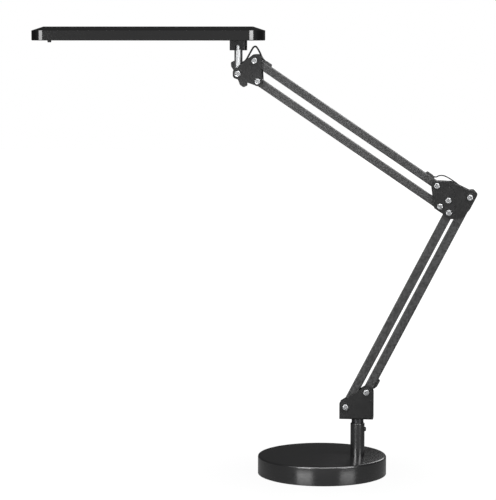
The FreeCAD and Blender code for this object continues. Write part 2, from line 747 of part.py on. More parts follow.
def make_elbow():
    """Two large plates, and on each a stepped cheek with pressed ribs."""
    holes = [(x, z, "screw_hole") for x, z in ELBOW_SPOTS]
    rounds = (("3.5", (0, 2, 4, 5)), ("6", (1,)), ("9", (3, 7)), ("8", (8,)))
    boss = ((ELBOW_SPOTS[1][0], ELBOW_SPOTS[1][1]),)
    for side, low, over in (
        ("front", "plate_inner", "plate_outer"),
        ("rear", "-plate_outer", "-cheek_outer"),
    ):
        label = f"elbow_{side}_plate"
        make_plate(label, ELBOW_PLATE, rounds, low, "plate_thick", holes, boss)
        cheek_holes = [hole for hole in holes if hole[0] != "elbow_right_x"]
        cheek_rounds = (("3.5", (0, 2, 3, 4)), ("6", (1,)), ("8", (5,)))
        ribs = (
            rib_between("elbow_top", "spacer", "6.5", "rib_width", "0"),
            rib_between("elbow_low", "elbow_top", "6.5", "edge_rib", "6.2"),
        )
        label = f"elbow_{side}_cheek"
        make_plate(label, ELBOW_CHEEK, cheek_rounds, over, "cheek_thick", cheek_holes, (), ribs)


def make_wrist():
    """Two plates that carry the upper bars' far ends and clamp the stem."""
    spots = (("wrist_low_x", "wrist_low_z"), ("wrist_top_x", "wrist_top_z"))
    holes = [(x, z, "screw_hole") for x, z in spots] + [("tilt_x", "tilt_z", "bolt_hole")]
    rounds = (("5.5", (0, 4)), ("7.5", (1, 2)), ("6", (3,)))
    bosses = spots + (("tilt_x", "tilt_z"),)
    ribs = (
        rib_between("wrist_low", "wrist_top", "6.5", "edge_rib", "-6.6"),
        rib_between("wrist_low", "wrist_top", "4", "rib_width", "8.5"),
    )
    for side, low in (("front", "plate_inner"), ("rear", "-plate_outer")):
        label = f"wrist_{side}_plate"
        make_plate(label, WRIST_PLATE, rounds, low, "plate_thick", holes, bosses, ribs)


# ---------------------------------------------------------------- bars


def make_tube(label, side, wall, length, at, angle):
    """Square tube between two pivots, in its own frame along X from the first pivot."""
    body = new_body(label)
    section = sketch(body, "YZ", "tube_inset")
    box(section, f"-{side} / 2", f"{side} / 2", f"-{side} / 2", f"{side} / 2")
    pad(body, section, f"{length} - 2 * tube_inset")
    dress(body, "Fillet", "bar_edge", runs_along(0))
    bore = sketch(body, "YZ", f"{length} - tube_inset")
    inner = f"({side} / 2 - {wall})"
    box(bore, f"-{inner}", inner, f"-{inner}", inner)
    pocket(body, bore, f"{length} - 2 * tube_inset")
    place(body, at + "_x", "0", at + "_z", angle=angle)


def make_plug(label, side, wall, at, angle, hood=None):
    """End plug: a round eye on the pivot, a square neck, a shank in the tube, and on some
    an outer hood with a groove that the cable leaves by; hood is + or -.
    """
    body = new_body(label)
    eye = sketch(body, "XZ")
    circle(eye, "0", "0", f"{side} / 2")
    pad(body, eye, "2 * eye_half", True)
    neck = sketch(body, "YZ")
    half = f"{side} / 2"
    cut = f"({side} / 2 - bar_edge * 0.6)"
    corners = []
    for y, z in ((1, 1), (-1, 1), (-1, -1), (1, -1)):
        on_side = (f"{y} * {half}", f"{z} * {cut}")
        on_top = (f"{y} * {cut}", f"{z} * {half}")
        corners += [on_side, on_top] if y == z else [on_top, on_side]
    outline(neck, corners)
    pad(body, neck, "tube_inset")
    shank = sketch(body, "YZ", "tube_inset")
    inner = f"({side} / 2 - {wall} - fit_gap)"
    box(shank, f"-{inner}", inner, f"-{inner}", inner)
    pad(body, shank, "plug_depth")
    if hood:
        cover = sketch(body, "XZ")
        low = f"{hood}({side} / 2)"
        high = f"{hood}({side} / 2 + hood_rise)"
        inset = "tube_inset"
        corners = [
            ("hood_start", f"{hood}({side} / 2 - 1)"),
            (inset, f"{hood}({side} / 2 - 1)"),
            (inset, low),
            ("hood_end", low),
            ("hood_end - 1.5", high),
            ("hood_start + hood_slope", high),
            ("hood_start", f"{hood}({side} / 2 + hood_rise / 4)"),
        ]
        outline(cover, corners)
        pad(body, cover, "2 * hood_half", True)
        groove = sketch(body, "XZ")
        run = "hood_end - 4"
        box(groove, "hood_start - 4", run, low, f"{hood}({side} / 2 + hood_rise - 0.5)")
        pocket(body, groove, "2 * (cable_radius + hole_gap)", True)
    drill(body, (("0", "0"),), "seat_radius", "4 * eye_half")
    place(body, at + "_x", "0", at + "_z", angle=angle)


def make_bars():
    """Four tubes, each with a plug at either end."""
    lower = ("lower_bar", "lower_wall")
    upper = ("upper_bar", "upper_wall")
    for name, section, length, angle, start, end, hoods in (
        ("lower_left", lower, "lower_length", "lower_angle", "foot_left", "elbow_left", (None, None)),
        ("lower_right", lower, "lower_length", "lower_angle", "foot_right", "elbow_right", ("-", None)),
        ("upper_low", upper, "upper_length", "upper_angle", "elbow_low", "wrist_low", (None, None)),
        ("upper_top", upper, "upper_length", "upper_angle", "elbow_top", "wrist_top", ("-", "+")),
    ):
        make_tube(name + "_tube", *section, length, start, angle)
        make_plug(name + "_near_plug", *section, start, angle, hoods[0])
        make_plug(name + "_far_plug", *section, end, angle + " + 180", hoods[1])


# ---------------------------------------------------------------- pivot hardware


def make_screw_master(label, grip):
    """Pan-head screw along Z, its head above the origin and its thread below."""
    body = new_master(label)
    reach = f"-({grip} + nut_thick + thread_tail)"
    profile = [
        ("0", reach),
        ("screw_radius - 0.5", reach),
        ("screw_radius", f"{reach} + 0.5"),
        ("screw_radius", "0"),
        ("head_radius", "0"),
        ("head_radius", "head_height / 3"),
        ("head_radius * 0.75", "head_height * 0.8"),
        ("head_radius * 0.45", "head_height"),
        ("0", "head_height"),
    ]
    spin(body, profile)
    for long_x, long_y in (("head_radius / 2", "0.5"), ("0.5", "head_radius / 2")):
        bar = sketch(body, "XY", "head_height")
        box(bar, f"-{long_x}", long_x, f"-{long_y}", long_y)
        pocket(body, bar, "cross_depth")
    return body


def make_nut_master(label, flat, bore, thick):
    """Hexagon nut along Z, with a chamfered outer end."""
    body = new_master(label)
    ring = sketch(body, "XY")
    hexagon(ring, flat)
    pad(body, ring, thick)
    hole = sketch(body, "XY", thick)
    circle(hole, "0", "0", f"{bore} + fit_gap")
    pocket(body, hole, thick)
    return body


def make_ring_master(label, outer, inner, length):
    """Plain ring along Z."""
    body = new_master(label)
    ring = sketch(body, "XY")
    circle(ring, "0", "0", outer)
    circle(ring, "0", "0", inner)
    pad(body, ring, length)
    return body


def make_pivot_sets():
    """Screws, nuts, sleeves and friction discs of the three pivot groups."""
    plain = make_screw_master("plate_screw", "2 * (plate_outer + boss_rise)")
    tall = make_screw_master("cheek_screw", "2 * cheek_outer")
    nut = make_nut_master("pivot_nut", "nut_flat", "screw_radius", "nut_thick")
    sleeve = make_ring_master("pivot_sleeve", "sleeve_radius", "screw_hole", "2 * plate_inner")
    disc = make_ring_master("friction_disc", "disc_radius", "sleeve_radius + hole_gap", "disc_thick")

    foot = ("foot_left", "foot_right")
    wrist = ("wrist_low", "wrist_top")
    cheek = ("elbow_left", "elbow_low", "elbow_top", "spacer")
    face = "plate_outer + boss_rise"
    for group, pivots in (("foot", foot), ("wrist", wrist)):
        heads = [(f"{pivot}_x", f"-({face})", f"{pivot}_z", "front") for pivot in pivots]
        ends = [(f"{pivot}_x", face, f"{pivot}_z", "rear") for pivot in pivots]
        copies(group + "_screws", plain, heads)
        copies(group + "_nuts", nut, ends)
    heads = [(f"{pivot}_x", "-cheek_outer", f"{pivot}_z", "front") for pivot in cheek]
    ends = [(f"{pivot}_x", "cheek_outer", f"{pivot}_z", "rear") for pivot in cheek]
    heads.append(("elbow_right_x", f"-({face})", "elbow_right_z", "front"))
    copies("elbow_screws", tall, heads)
    copies("elbow_nuts", nut, ends + [("elbow_right_x", face, "elbow_right_z", "rear")])

    elbow = cheek + ("elbow_right",)
    for group, pivots in (("foot", foot), ("elbow", elbow), ("wrist", wrist)):
        spots = [(f"{pivot}_x", "-plate_inner", f"{pivot}_z", "rear") for pivot in pivots]
        copies(group + "_sleeves", sleeve, spots)
        turning = [pivot for pivot in pivots if pivot != "spacer"]
        if group == "wrist":
            turning.append("tilt")
        spots = []
        for pivot in turning:
            spots.append((f"{pivot}_x", "-plate_inner", f"{pivot}_z", "rear"))
            spots.append((f"{pivot}_x", "plate_inner", f"{pivot}_z", "front"))
        copies(group + "_discs", disc, spots)


# ---------------------------------------------------------------- tilt joint and stem


def make_clamp():
    """Clamp bolt through the wrist plates and the stem, and the wing knob behind them."""
    bolt = new_body("clamp_bolt")
    end = "-(2 * (plate_outer + boss_rise) + face_gap + knob_thick - 2)"
    profile = [
        ("0", end),
        ("tilt_bolt - 0.5", end),
        ("tilt_bolt", f"{end} + 0.5"),
        ("tilt_bolt", "0"),
        ("head_radius + 0.3", "0"),
        ("head_radius + 0.3", "head_height / 3"),
        ("head_radius * 0.8", "head_height * 0.8"),
        ("head_radius / 2", "head_height"),
        ("0", "head_height"),
    ]
    spin(bolt, profile)
    for long_x, long_y in (("head_radius / 2", "0.5"), ("0.5", "head_radius / 2")):
        bar = sketch(bolt, "XY", "head_height")
        box(bar, f"-{long_x}", long_x, f"-{long_y}", long_y)
        pocket(bolt, bar, "cross_depth")
    place(bolt, "tilt_x", "-(plate_outer + boss_rise)", "tilt_z", (1, 0, 0), "90")

    knob = new_body("wing_knob")
    hub = sketch(knob, "XZ")
    circle(hub, "0", "0", "knob_hub")
    pad(knob, hub, "knob_thick")
    wings = sketch(knob, "XZ")
    middle = "(knob_reach - knob_tip)"
    waist = "(knob_tip - knob_scallop)"
    corners = [
        ("0", "-knob_tip"),
        (f"{middle} * 0.6", f"-{waist}"),
        (middle, "-knob_tip"),
        ("knob_reach", "-knob_tip * 0.45"),
        ("knob_reach", "knob_tip * 0.6"),
        (middle, "knob_tip"),
        (f"{middle} * 0.6", waist),
        ("0", "knob_tip"),
        (f"-{middle} * 0.6", waist),
        (f"-{middle}", "knob_tip"),
        ("-knob_reach", "knob_tip * 0.45"),
        ("-knob_reach", "-knob_tip * 0.6"),
        (f"-{middle}", "-knob_tip"),
        (f"-{middle} * 0.6", f"-{waist}"),
    ]
    outline(wings, [(x, f"{y} + knob_shift") for x, y in corners])
    pad(knob, wings, "knob_thick - 2")
    dress(knob, "Fillet", "2", at_corner(wings, (2, 3, 4, 5, 9, 10, 11, 12)))
    thread = sketch(knob, "XZ", "knob_thick")
    circle(thread, "0", "0", "tilt_bolt + fit_gap")
    pocket(knob, thread, "knob_thick - 1.5")
    place(knob, "tilt_x", "plate_outer + boss_rise + face_gap + knob_thick", "tilt_z", angle="knob_angle")


def make_stem():
    """Bright hollow stem on a cross barrel, with a thinner top end that turns in the turret."""
    body = new_body("stem")
    barrel = sketch(body, "XZ")
    circle(barrel, "0", "0", "barrel_radius")
    pad(body, barrel, "2 * eye_half", True)
    rod = sketch(body, "XY")
    circle(rod, "0", "0", "stem_radius")
    pad(body, rod, "stem_rise + stem_window")
    thin = sketch(body, "XY", "stem_rise + stem_window")
    circle(thin, "0", "0", "spigot_top")
    pad(body, thin, "turret_height - stem_window + light_plate + stem_nut_thick + thread_tail")
    way = sketch(body, "XY", "stem_rise + turret_height + light_plate + stem_nut_thick + thread_tail")
    circle(way, "0", "0", "stem_bore")
    pocket(body, way, "stem_rise + turret_height + light_plate + stem_nut_thick - barrel_radius - 2")
    entry = sketch(body, "YZ", "stem_radius + 1")
    circle(entry, "0", "barrel_radius + cable_rise", "cable_hole")
    pocket(body, entry, "stem_radius + 1")
    drill(body, (("0", "0"),), "tilt_bolt + run_gap", "4 * eye_half")
    place(body, "tilt_x", "0", "tilt_z")

    nut = new_body("stem_nut")
    ring = sketch(nut, "XY")
    hexagon(ring, "stem_nut_flat")
    circle(ring, "0", "0", "spigot_top + fit_gap")
    pad(nut, ring, "stem_nut_thick")
    place(nut, "tilt_x", "0", "light_foot + light_plate + face_gap")


def make_turret():
    """Black block under the light bar; arched windows front and rear show the stem's top."""
    body = new_body("turret")
    block = sketch(body, "XY")
    box(block, "-turret_half", "turret_half", "-turret_depth", "turret_depth")
    pad(body, block, "turret_height")
    dress(body, "Fillet", "turret_edge", runs_along(2))
    seat = sketch(body, "XY", "stem_window + face_gap")
    circle(seat, "0", "0", "stem_radius + run_gap")
    pocket(body, seat, "stem_window + face_gap")
    bore = sketch(body, "XY", "turret_height")
    circle(bore, "0", "0", "spigot_top + run_gap")
    pocket(body, bore, "turret_height")
    window = sketch(body, "XZ")
    width = "stem_radius - 1.6"
    outline(
        window,
        [
            (f"-({width})", "0"),
            (width, "0"),
            (width, "stem_window - 2.5"),
            (f"({width}) * 0.55", "stem_window - 0.8"),
            (f"-({width}) * 0.55", "stem_window - 0.8"),
            (f"-({width})", "stem_window - 2.5"),
        ],
    )
    pocket(body, window, "3 * turret_depth", True)
    screws = sketch(body, "XY", "turret_height")
    for sign in ("", "-"):
        circle(screws, f"{sign}turret_screw", "0", "small_screw + fit_gap")
    pocket(body, screws, "screw_depth - light_plate + 1")
    place(body, "tilt_x", "0", "turret_foot")


# ---------------------------------------------------------------- light bar


PLATE_SCREWS = tuple((x, side) for x in ("screw_far", "screw_near") for side in ("screw_side", "-screw_side"))


def in_light_bar(label):
    """A new body whose origin is on the stem's axis at the light bar's underside."""
    body = new_body(label)
    place(body, "tilt_x", "0", "light_foot")
    return body


def rounded_slab(body, at, height, inset):
    """The light bar's plan outline, drawn in by an inset, as a slab."""
    plan = sketch(body, "XY", at)
    wide = f"light_width / 2 - ({inset})"
    left = f"-(light_left - ({inset}))"
    box(plan, left, f"light_right - ({inset})", f"-({wide})", wide)
    pad(body, plan, height)
    dress(body, "Fillet", f"light_corner - ({inset})", runs_along(2))


def make_housing():
    """Metal cover of the light bar: upright sides, a sloped border and a flat top."""
    body = in_light_bar("light_housing")
    rounded_slab(body, "0", "light_top", "0")
    top = level(size("light_top"))
    slope = dress(body, "Chamfer", "light_crown", top, ChamferType="Two distances")
    bind(slope, "Size2", "light_border")
    doc.recompute()
    faces = enumerate(body.Tip.Shape.Faces, 1)
    under = [f"Face{number}" for number, face in faces if face.BoundBox.ZMax < 0.01]
    hollow = body.Tip
    shell = feature(body, "Thickness")
    shell.Base = (hollow, under)
    shell.Reversed = True
    shell.Join = "Arc"
    bind(shell, "Value", "light_wall")
    doc.recompute()
    rim = [edge for edge in body.Tip.Shape.Edges if level(0)(edge)]
    reach = max(edge.BoundBox.XMax for edge in rim)
    far = min(edge.BoundBox.XMin for edge in rim)
    wide = max(edge.BoundBox.YMax for edge in rim)

    def outside(edge):
        bounds = edge.BoundBox
        on_end = abs(bounds.XMax - reach) < 0.01 or abs(bounds.XMin - far) < 0.01
        on_side = abs(abs(bounds.YMax) - wide) < 0.01 or abs(abs(bounds.YMin) - wide) < 0.01
        return level(0)(edge) and (on_end or on_side)

    dress(body, "Chamfer", "light_rim", outside)
    bosses = sketch(body, "XY", "light_plate + face_gap")
    for x, y in PLATE_SCREWS:
        circle(bosses, x, y, "screw_boss")
    pad(body, bosses, "light_side - light_plate + 1.4")
    threads = sketch(body, "XY", "screw_depth + 2")
    for x, y in PLATE_SCREWS:
        circle(threads, x, y, "small_screw + fit_gap")
    pocket(body, threads, "screw_depth + 2")


def make_bottom_plate():
    """Bottom plate inside the housing's rim: light window, button hole and screw holes."""
    body = in_light_bar("light_bottom_plate")
    rounded_slab(body, "0", "light_plate", "light_wall + fit_gap")
    window = sketch(body, "XY", "light_plate")
    box(window, "-window_left", "-window_right", "-window_half", "window_half")
    pocket(body, window, "light_plate")
    holes = sketch(body, "XY", "light_plate")
    circle(holes, "-button_offset", "0", "button_radius + hole_gap")
    circle(holes, "0", "0", "spigot_top + hole_gap")
    for x, y in PLATE_SCREWS + (("turret_screw", "0"), ("-turret_screw", "0")):
        circle(holes, x, y, "small_screw + hole_gap")
    pocket(body, holes, "light_plate")
    sinks = sketch(body, "XY", "small_head")
    for x, y in PLATE_SCREWS:
        circle(sinks, x, y, "small_screw * 1.8 + hole_gap")
    pocket(body, sinks, "small_head")
    posts = sketch(body, "XY", "light_plate")
    for side in ("", "-"):
        for end in ("+", "-"):
            x = f"driver_offset {end} (driver_half - 2)"
            circle(posts, x, f"{side}(driver_width - 2)", "small_screw")
    pad(body, posts, "driver_lift")


def make_light_engine():
    """Opal panel, reflector trough, chip board and heat bar, stacked up to the housing."""
    panel = in_light_bar("opal_panel")
    sheet_plan = sketch(panel, "XY", "panel_foot")
    lap = "panel_lap"
    half = f"window_half + {lap}"
    box(sheet_plan, f"-window_left - {lap}", f"-window_right + {lap}", f"-({half})", half)
    pad(panel, sheet_plan, "panel_thick")

    trough = in_light_bar("reflector_trough")
    wall = "trough_wall"
    section = sketch(trough, "YZ", "-window_left")
    outer = [
        ("-window_half", "panel_top"),
        ("window_half", "panel_top"),
        ("trough_half", "trough_top"),
        ("-trough_half", "trough_top"),
    ]
    outline(section, outer)
    pad(trough, section, "window_length")
    hollow = sketch(trough, "YZ", "-window_right")
    inner = [
        (f"-window_half + 1.5 * {wall}", "panel_top"),
        (f"window_half - 1.5 * {wall}", "panel_top"),
        (f"trough_half - {wall}", f"trough_top - {wall}"),
        (f"-trough_half + {wall}", f"trough_top - {wall}"),
    ]
    outline(hollow, inner)
    pocket(trough, hollow, "window_length")

    board = in_light_bar("chip_board")
    face = "trough_top - trough_wall - board_thick"
    plan = sketch(board, "XY", face)
    box(plan, "-window_left + 1", "-window_right - 1", "-board_half", "board_half")
    pad(board, plan, "board_thick")
    chip = sketch(board, "XY", f"{face} - chip_height")
    start = "-window_left + 6"
    box(chip, start, f"{start} + chip_size", "-chip_size / 2", "chip_size / 2")
    pad(board, chip, "chip_height")
    doc.recompute()
    row = body_pattern(board, chip)
    bind(row, "Length", "window_length - 12 - chip_size")
    bind(row, "Occurrences", "chip_count")

    bar = in_light_bar("heat_bar")
    plan = sketch(bar, "XY", "trough_top")
    box(plan, "-window_left + 1", "-window_right - 1", "-trough_half", "trough_half")
    pad(bar, plan, "heat_thick")


def body_pattern(body, drawing):
    """Repeat the body's last feature along its sketch's X axis."""
    original = body.Tip
    row = feature(body, "LinearPattern")
    row.Originals = [original]
    row.Direction = (drawing, ["H_Axis"])
    body.Tip = row
    return row


def make_button():
    """Push button at the free end, and the small switch on its frame above it."""
    button = in_light_bar("push_button")
    rim = "light_plate + 0.3"
    profile = [
        ("0", "-button_proud"),
        ("button_radius - 0.6", "-button_proud"),
        ("button_radius", "-button_proud + 0.6"),
        ("button_radius", rim),
        ("button_radius + 1.5", rim),
        ("button_radius + 1.5", f"{rim} + button_flange"),
        ("0", f"{rim} + button_flange"),
    ]
    spin(button, profile)
    bind(button, "Placement.Base.x", "tilt_x - button_offset")

    frame = in_light_bar("button_switch")
    side = sketch(frame, "YZ")
    under = f"{rim} + button_flange + button_travel + 0.3"
    top = f"{under} + switch_height"
    corners = [
        ("-leg_reach", "light_plate"),
        ("-leg_reach + 2", "light_plate"),
        ("-leg_reach + 2", under),
        ("leg_reach - 2", under),
        ("leg_reach - 2", "light_plate"),
        ("leg_reach", "light_plate"),
        ("leg_reach", f"{under} + 1.2"),
        ("switch_half", f"{under} + 1.2"),
        ("switch_half", top),
        ("-switch_half", top),
        ("-switch_half", f"{under} + 1.2"),
        ("-leg_reach", f"{under} + 1.2"),
    ]
    outline(side, corners)
    pad(frame, side, "2 * switch_half", True)
    bind(frame, "Placement.Base.x", "tilt_x - button_offset")


def make_driver():
    """Small driver board on posts beside the stem, with its inductor and capacitors."""
    body = in_light_bar("driver_board")
    foot = "light_plate + driver_lift"
    plan = sketch(body, "XY", foot)
    left = "driver_offset - driver_half"
    right = "driver_offset + driver_half"
    box(plan, left, right, "-driver_width", "driver_width")
    pad(body, plan, "board_thick")
    chips = sketch(body, "XY", f"{foot} + board_thick")
    box(chips, f"{left} + 3", f"{right} - 3", "-driver_width + 3", "-driver_width + 13")
    pad(body, chips, "4.5")
    cans = sketch(body, "XY", f"{foot} + board_thick")
    for y in ("driver_width - 6", "driver_width - 15"):
        circle(cans, "driver_offset", y, "3.2")
    pad(body, cans, "6")


def make_light_screws():
    """Equal screws: two down into the turret, four up through the bottom plate."""
    master = new_master("light_screw")
    profile = [
        ("0", "-screw_depth"),
        ("small_screw", "-screw_depth"),
        ("small_screw", "0"),
        ("small_screw * 1.8", "0"),
        ("small_screw * 1.8", "small_head / 2"),
        ("small_screw * 1.5", "small_head"),
        ("0", "small_head"),
    ]
    spin(master, profile)
    height = "light_foot + light_plate"
    spots = [(f"tilt_x {sign} turret_screw", "0", height, "up") for sign in "+-"]
    spots += [(f"tilt_x + {x}", y, "light_foot + small_head", "down") for x, y in PLATE_SCREWS]
    copies("light_screws", master, spots)


# ---------------------------------------------------------------- jumper cables


def cable_paths(points, split=None):
    """Straight runs joined by tangent arcs, as large as the runs allow, as one list of edges
    or as two, parted in the middle of the arc at one corner.
    """
    paths = [[]]
    start = points[0]
    for index in range(1, len(points) - 1):
        corner = points[index]
        come = corner - points[index - 1]
        leave = points[index + 1] - corner
        half_turn = come.getAngle(leave) / 2
        reach = 0.45 * min(come.Length, leave.Length)
        bend = reach / math.tan(half_turn)
        enter = corner - come.normalize() * reach
        depart = corner + leave.normalize() * reach
        inward = (enter + depart - corner * 2).normalize()
        middle = corner + inward * bend * (1 / math.cos(half_turn) - 1)
        print(f"  bend radius {bend:.1f}")
        paths[-1].append(Part.LineSegment(start, enter).toShape())
        arc = Part.Arc(enter, middle, depart)
        if index == split:
            centre = (arc.FirstParameter + arc.LastParameter) / 2
            paths[-1].append(arc.toShape(arc.FirstParameter, centre))
            paths.append([arc.toShape(centre, arc.LastParameter)])
        else:
            paths[-1].append(arc.toShape())
        start = depart
    paths[-1].append(Part.LineSegment(start, points[-1]).toShape())
    return paths


def make_cable(label, edges, radius):
    """Round cable along a path of edges."""
    path = Part.Wire(edges)
    first = edges[0]
    start = first.valueAt(first.FirstParameter)
    ring = Part.Wire([Part.makeCircle(radius, start, first.tangentAt(first.FirstParameter))])
    solid = path.makePipeShell([ring], True, True)
    expected = math.pi * radius**2 * path.Length
    print(f"{label}: length {path.Length:.1f}, volume {solid.Volume:.1f} against {expected:.1f}")
    piece = doc.addObject("Part::Feature", label)
    piece.Label = label
    piece.Shape = solid
    pieces.append(piece)


def pivot(name):
    """A pivot's point in the arms' plane."""
    return Vector(size(name + "_x"), 0, size(name + "_z"))


def arm_point(name, angle, along, across):
    """A point in a bar's own frame: along it from a pivot, and across it."""
    turn = math.radians(angle)
    way = Vector(math.cos(turn), 0, math.sin(turn))
    side = Vector(-math.sin(turn), 0, math.cos(turn))
    return pivot(name) + way * along + side * across


def make_cables():
    """The free loops of the cable: in two lengths over the wrist, in one over the elbow."""
    above = size("upper_bar") / 2 + size("hood_rise") / 2 - 0.25
    back = size("upper_angle") + 180
    wrist = pivot("wrist_top")
    stem = pivot("tilt")
    entry = size("barrel_radius") + size("cable_rise")
    route = [
        arm_point("wrist_top", back, 19, above),
        arm_point("wrist_top", back, 9, above),
        wrist + Vector(6.8, 0, 14.5),
        wrist + Vector(-0.5, 0, 25),
        wrist + Vector(-8.6, 0, 11),
        stem + Vector(10, 0, entry + 1),
        stem + Vector(1.5, 0, entry),
    ]
    for label, edges in zip(("wrist_cable_bar", "wrist_cable_stem"), cable_paths(route, 3)):
        make_cable(label, edges, size("cable_radius"))
    elbow = pivot("elbow_top")
    far = pivot("elbow_right")
    drop = Vector(-9, 0, 12.5)
    eye = size("lower_bar") / 2 + size("hole_gap")
    route = [
        arm_point("elbow_top", size("upper_angle"), 19, -above),
        arm_point("elbow_top", size("upper_angle"), 9, -above),
        elbow + Vector(3, 0, 15.8),
        elbow + Vector(14, 0, 14.6),
        far + drop,
        far + drop * (eye / drop.Length),
    ]
    make_cable("elbow_cable", cable_paths(route)[0], size("thin_cable_radius"))


# ---------------------------------------------------------------- build and export


def build():
    """Make every sub-part."""
    fill_sheet()
    make_base_cover()
    make_base_weight()
    make_base_pad()
    make_cable_bush()
    make_post()
    make_set_screw()
    make_spigot()
    make_lower_bracket()
    make_bars()
    make_elbow()
    make_wrist()
    make_pivot_sets()
    make_clamp()
    make_stem()
    make_turret()
    make_housing()
    make_bottom_plate()
    make_light_engine()
    make_button()
    make_driver()
    make_light_screws()
    make_cables()
    doc.recompute()


def check():
    """Stop if any object failed or any sub-part is not a sound solid."""
    for thing in doc.Objects:
        if "Invalid" in thing.State or "Error" in thing.State:
            raise ValueError(f"{thing.Label} ({thing.Name}) failed: {thing.State}")
    for piece in pieces:
        if piece.Shape.isNull() or not piece.Shape.isValid() or not piece.Shape.Solids:
            raise ValueError(f"{piece.Label} is not a sound solid")


def export():
    """Write one STEP file for each sub-part."""
    os.makedirs("parts", exist_ok=True)
    for piece in pieces:
        piece.Shape.exportStep(f"parts/{piece.Label}.step")
    print(len(pieces), "sub-parts")


build()
check()
export()
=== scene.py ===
"""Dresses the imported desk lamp: finishes, softened metal, screws and cable loops."""

import math
import json

import bmesh
import bpy
from mathutils import Matrix, Vector


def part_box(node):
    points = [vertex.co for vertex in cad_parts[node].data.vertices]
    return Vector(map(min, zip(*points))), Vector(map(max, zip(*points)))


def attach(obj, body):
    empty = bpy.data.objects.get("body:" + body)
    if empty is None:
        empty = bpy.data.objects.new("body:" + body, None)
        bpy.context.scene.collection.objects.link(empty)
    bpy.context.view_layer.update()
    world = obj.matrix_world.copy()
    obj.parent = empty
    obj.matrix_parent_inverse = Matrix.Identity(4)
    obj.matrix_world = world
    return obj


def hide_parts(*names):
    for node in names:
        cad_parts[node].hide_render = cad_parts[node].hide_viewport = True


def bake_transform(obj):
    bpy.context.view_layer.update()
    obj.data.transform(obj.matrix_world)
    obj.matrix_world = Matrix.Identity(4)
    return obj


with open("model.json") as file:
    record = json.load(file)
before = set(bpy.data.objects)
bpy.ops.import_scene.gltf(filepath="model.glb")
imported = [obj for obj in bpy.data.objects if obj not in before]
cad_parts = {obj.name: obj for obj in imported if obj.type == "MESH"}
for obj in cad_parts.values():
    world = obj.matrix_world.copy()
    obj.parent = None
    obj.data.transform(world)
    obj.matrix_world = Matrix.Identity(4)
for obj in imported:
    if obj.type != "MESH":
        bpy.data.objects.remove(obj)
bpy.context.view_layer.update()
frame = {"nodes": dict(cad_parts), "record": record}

bl_info = {
    "name": "Double-arm desk lamp",
    "version": (1, 0, 0),
    "blender": (4, 5, 0),
    "location": "3D View > Sidebar > Lamp",
    "description": "Dresses a packed desk lamp with its finishes and fine detail",
    "category": "Object",
}

MM = 0.001
BOARD = 1.6 * MM
JUST_PAST = 0.05 * MM
JOINTS = {joint["name"]: joint for joint in frame["record"]["behaviour"]["joints"]}
SLOTS = {part["node"]: part["material_slot"] for part in frame["record"]["subparts"]}
BODIES = frame["record"]["behaviour"]["bodies"]
BODY_OF = {node: body for body, nodes in BODIES.items() for node in nodes}


def pivot(name):
    """Where a joint's axis crosses the arms' plane."""
    return Vector(JOINTS[name]["pos_m"])


# The cable's free loops, as laid in the model: out of the upper bar's end, over the pivot
# and into the stem, and over the elbow into the lower bar's eye.
WRIST_ROUTE = (
    (-0.0852, 0.0, 0.6380),
    (-0.0935, 0.0, 0.6436),
    (-0.0984, 0.0, 0.6568),
    (-0.1057, 0.0, 0.6673),
    (-0.1138, 0.0, 0.6533),
    (-0.1212, 0.0, 0.6393),
    (-0.1297, 0.0, 0.6383),
)
ELBOW_ROUTE = (
    (0.1642, 0.0, 0.4695),
    (0.1724, 0.0, 0.4639),
    (0.1787, 0.0, 0.4684),
    (0.1897, 0.0, 0.4672),
    (0.2173, 0.0, 0.4474),
    (0.2221, 0.0, 0.4407),
)


# ------------------------------------------------------------------ settings


class LampFinishes(bpy.types.PropertyGroup):
    """Colours and surface grain of the lamp."""

    charcoal: bpy.props.FloatVectorProperty(
        name="Charcoal lacquer",
        description="Colour of the base, the post and the light bar",
        subtype="COLOR",
        default=(0.008, 0.008, 0.0083),
    )
    arm: bpy.props.FloatVectorProperty(
        name="Arm powder coat",
        description="Colour of the square bars",
        subtype="COLOR",
        default=(0.0055, 0.0055, 0.0057),
    )
    plate: bpy.props.FloatVectorProperty(
        name="Bracket enamel",
        description="Colour of the pressed brackets",
        subtype="COLOR",
        default=(0.004, 0.004, 0.0041),
    )
    nylon: bpy.props.FloatVectorProperty(
        name="Nylon",
        description="Colour of the moulded bar ends",
        subtype="COLOR",
        default=(0.005, 0.005, 0.0052),
    )
    steel: bpy.props.FloatVectorProperty(
        name="Bright steel",
        description="Colour of the screws and the stem",
        subtype="COLOR",
        default=(0.72, 0.73, 0.74),
    )
    grain: bpy.props.FloatProperty(
        name="Powder grain",
        description="Width of one grain of the powder coat",
        subtype="DISTANCE",
        unit="LENGTH",
        default=0.7 * MM,
    )


class LampEdges(bpy.types.PropertyGroup):
    """Rounding of the edges that the eye catches."""

    pressed: bpy.props.FloatProperty(
        name="Pressed metal",
        description="Rounding of the brackets' and plates' edges",
        subtype="DISTANCE",
        unit="LENGTH",
        default=0.5 * MM,
    )
    moulded: bpy.props.FloatProperty(
        name="Moulded",
        description="Rounding of the bar ends, turret and knob",
        subtype="DISTANCE",
        unit="LENGTH",
        default=0.6 * MM,
    )
    housing: bpy.props.FloatProperty(
        name="Housing",
        description="Rounding of the light bar's edges",
        subtype="DISTANCE",
        unit="LENGTH",
        default=0.9 * MM,
    )


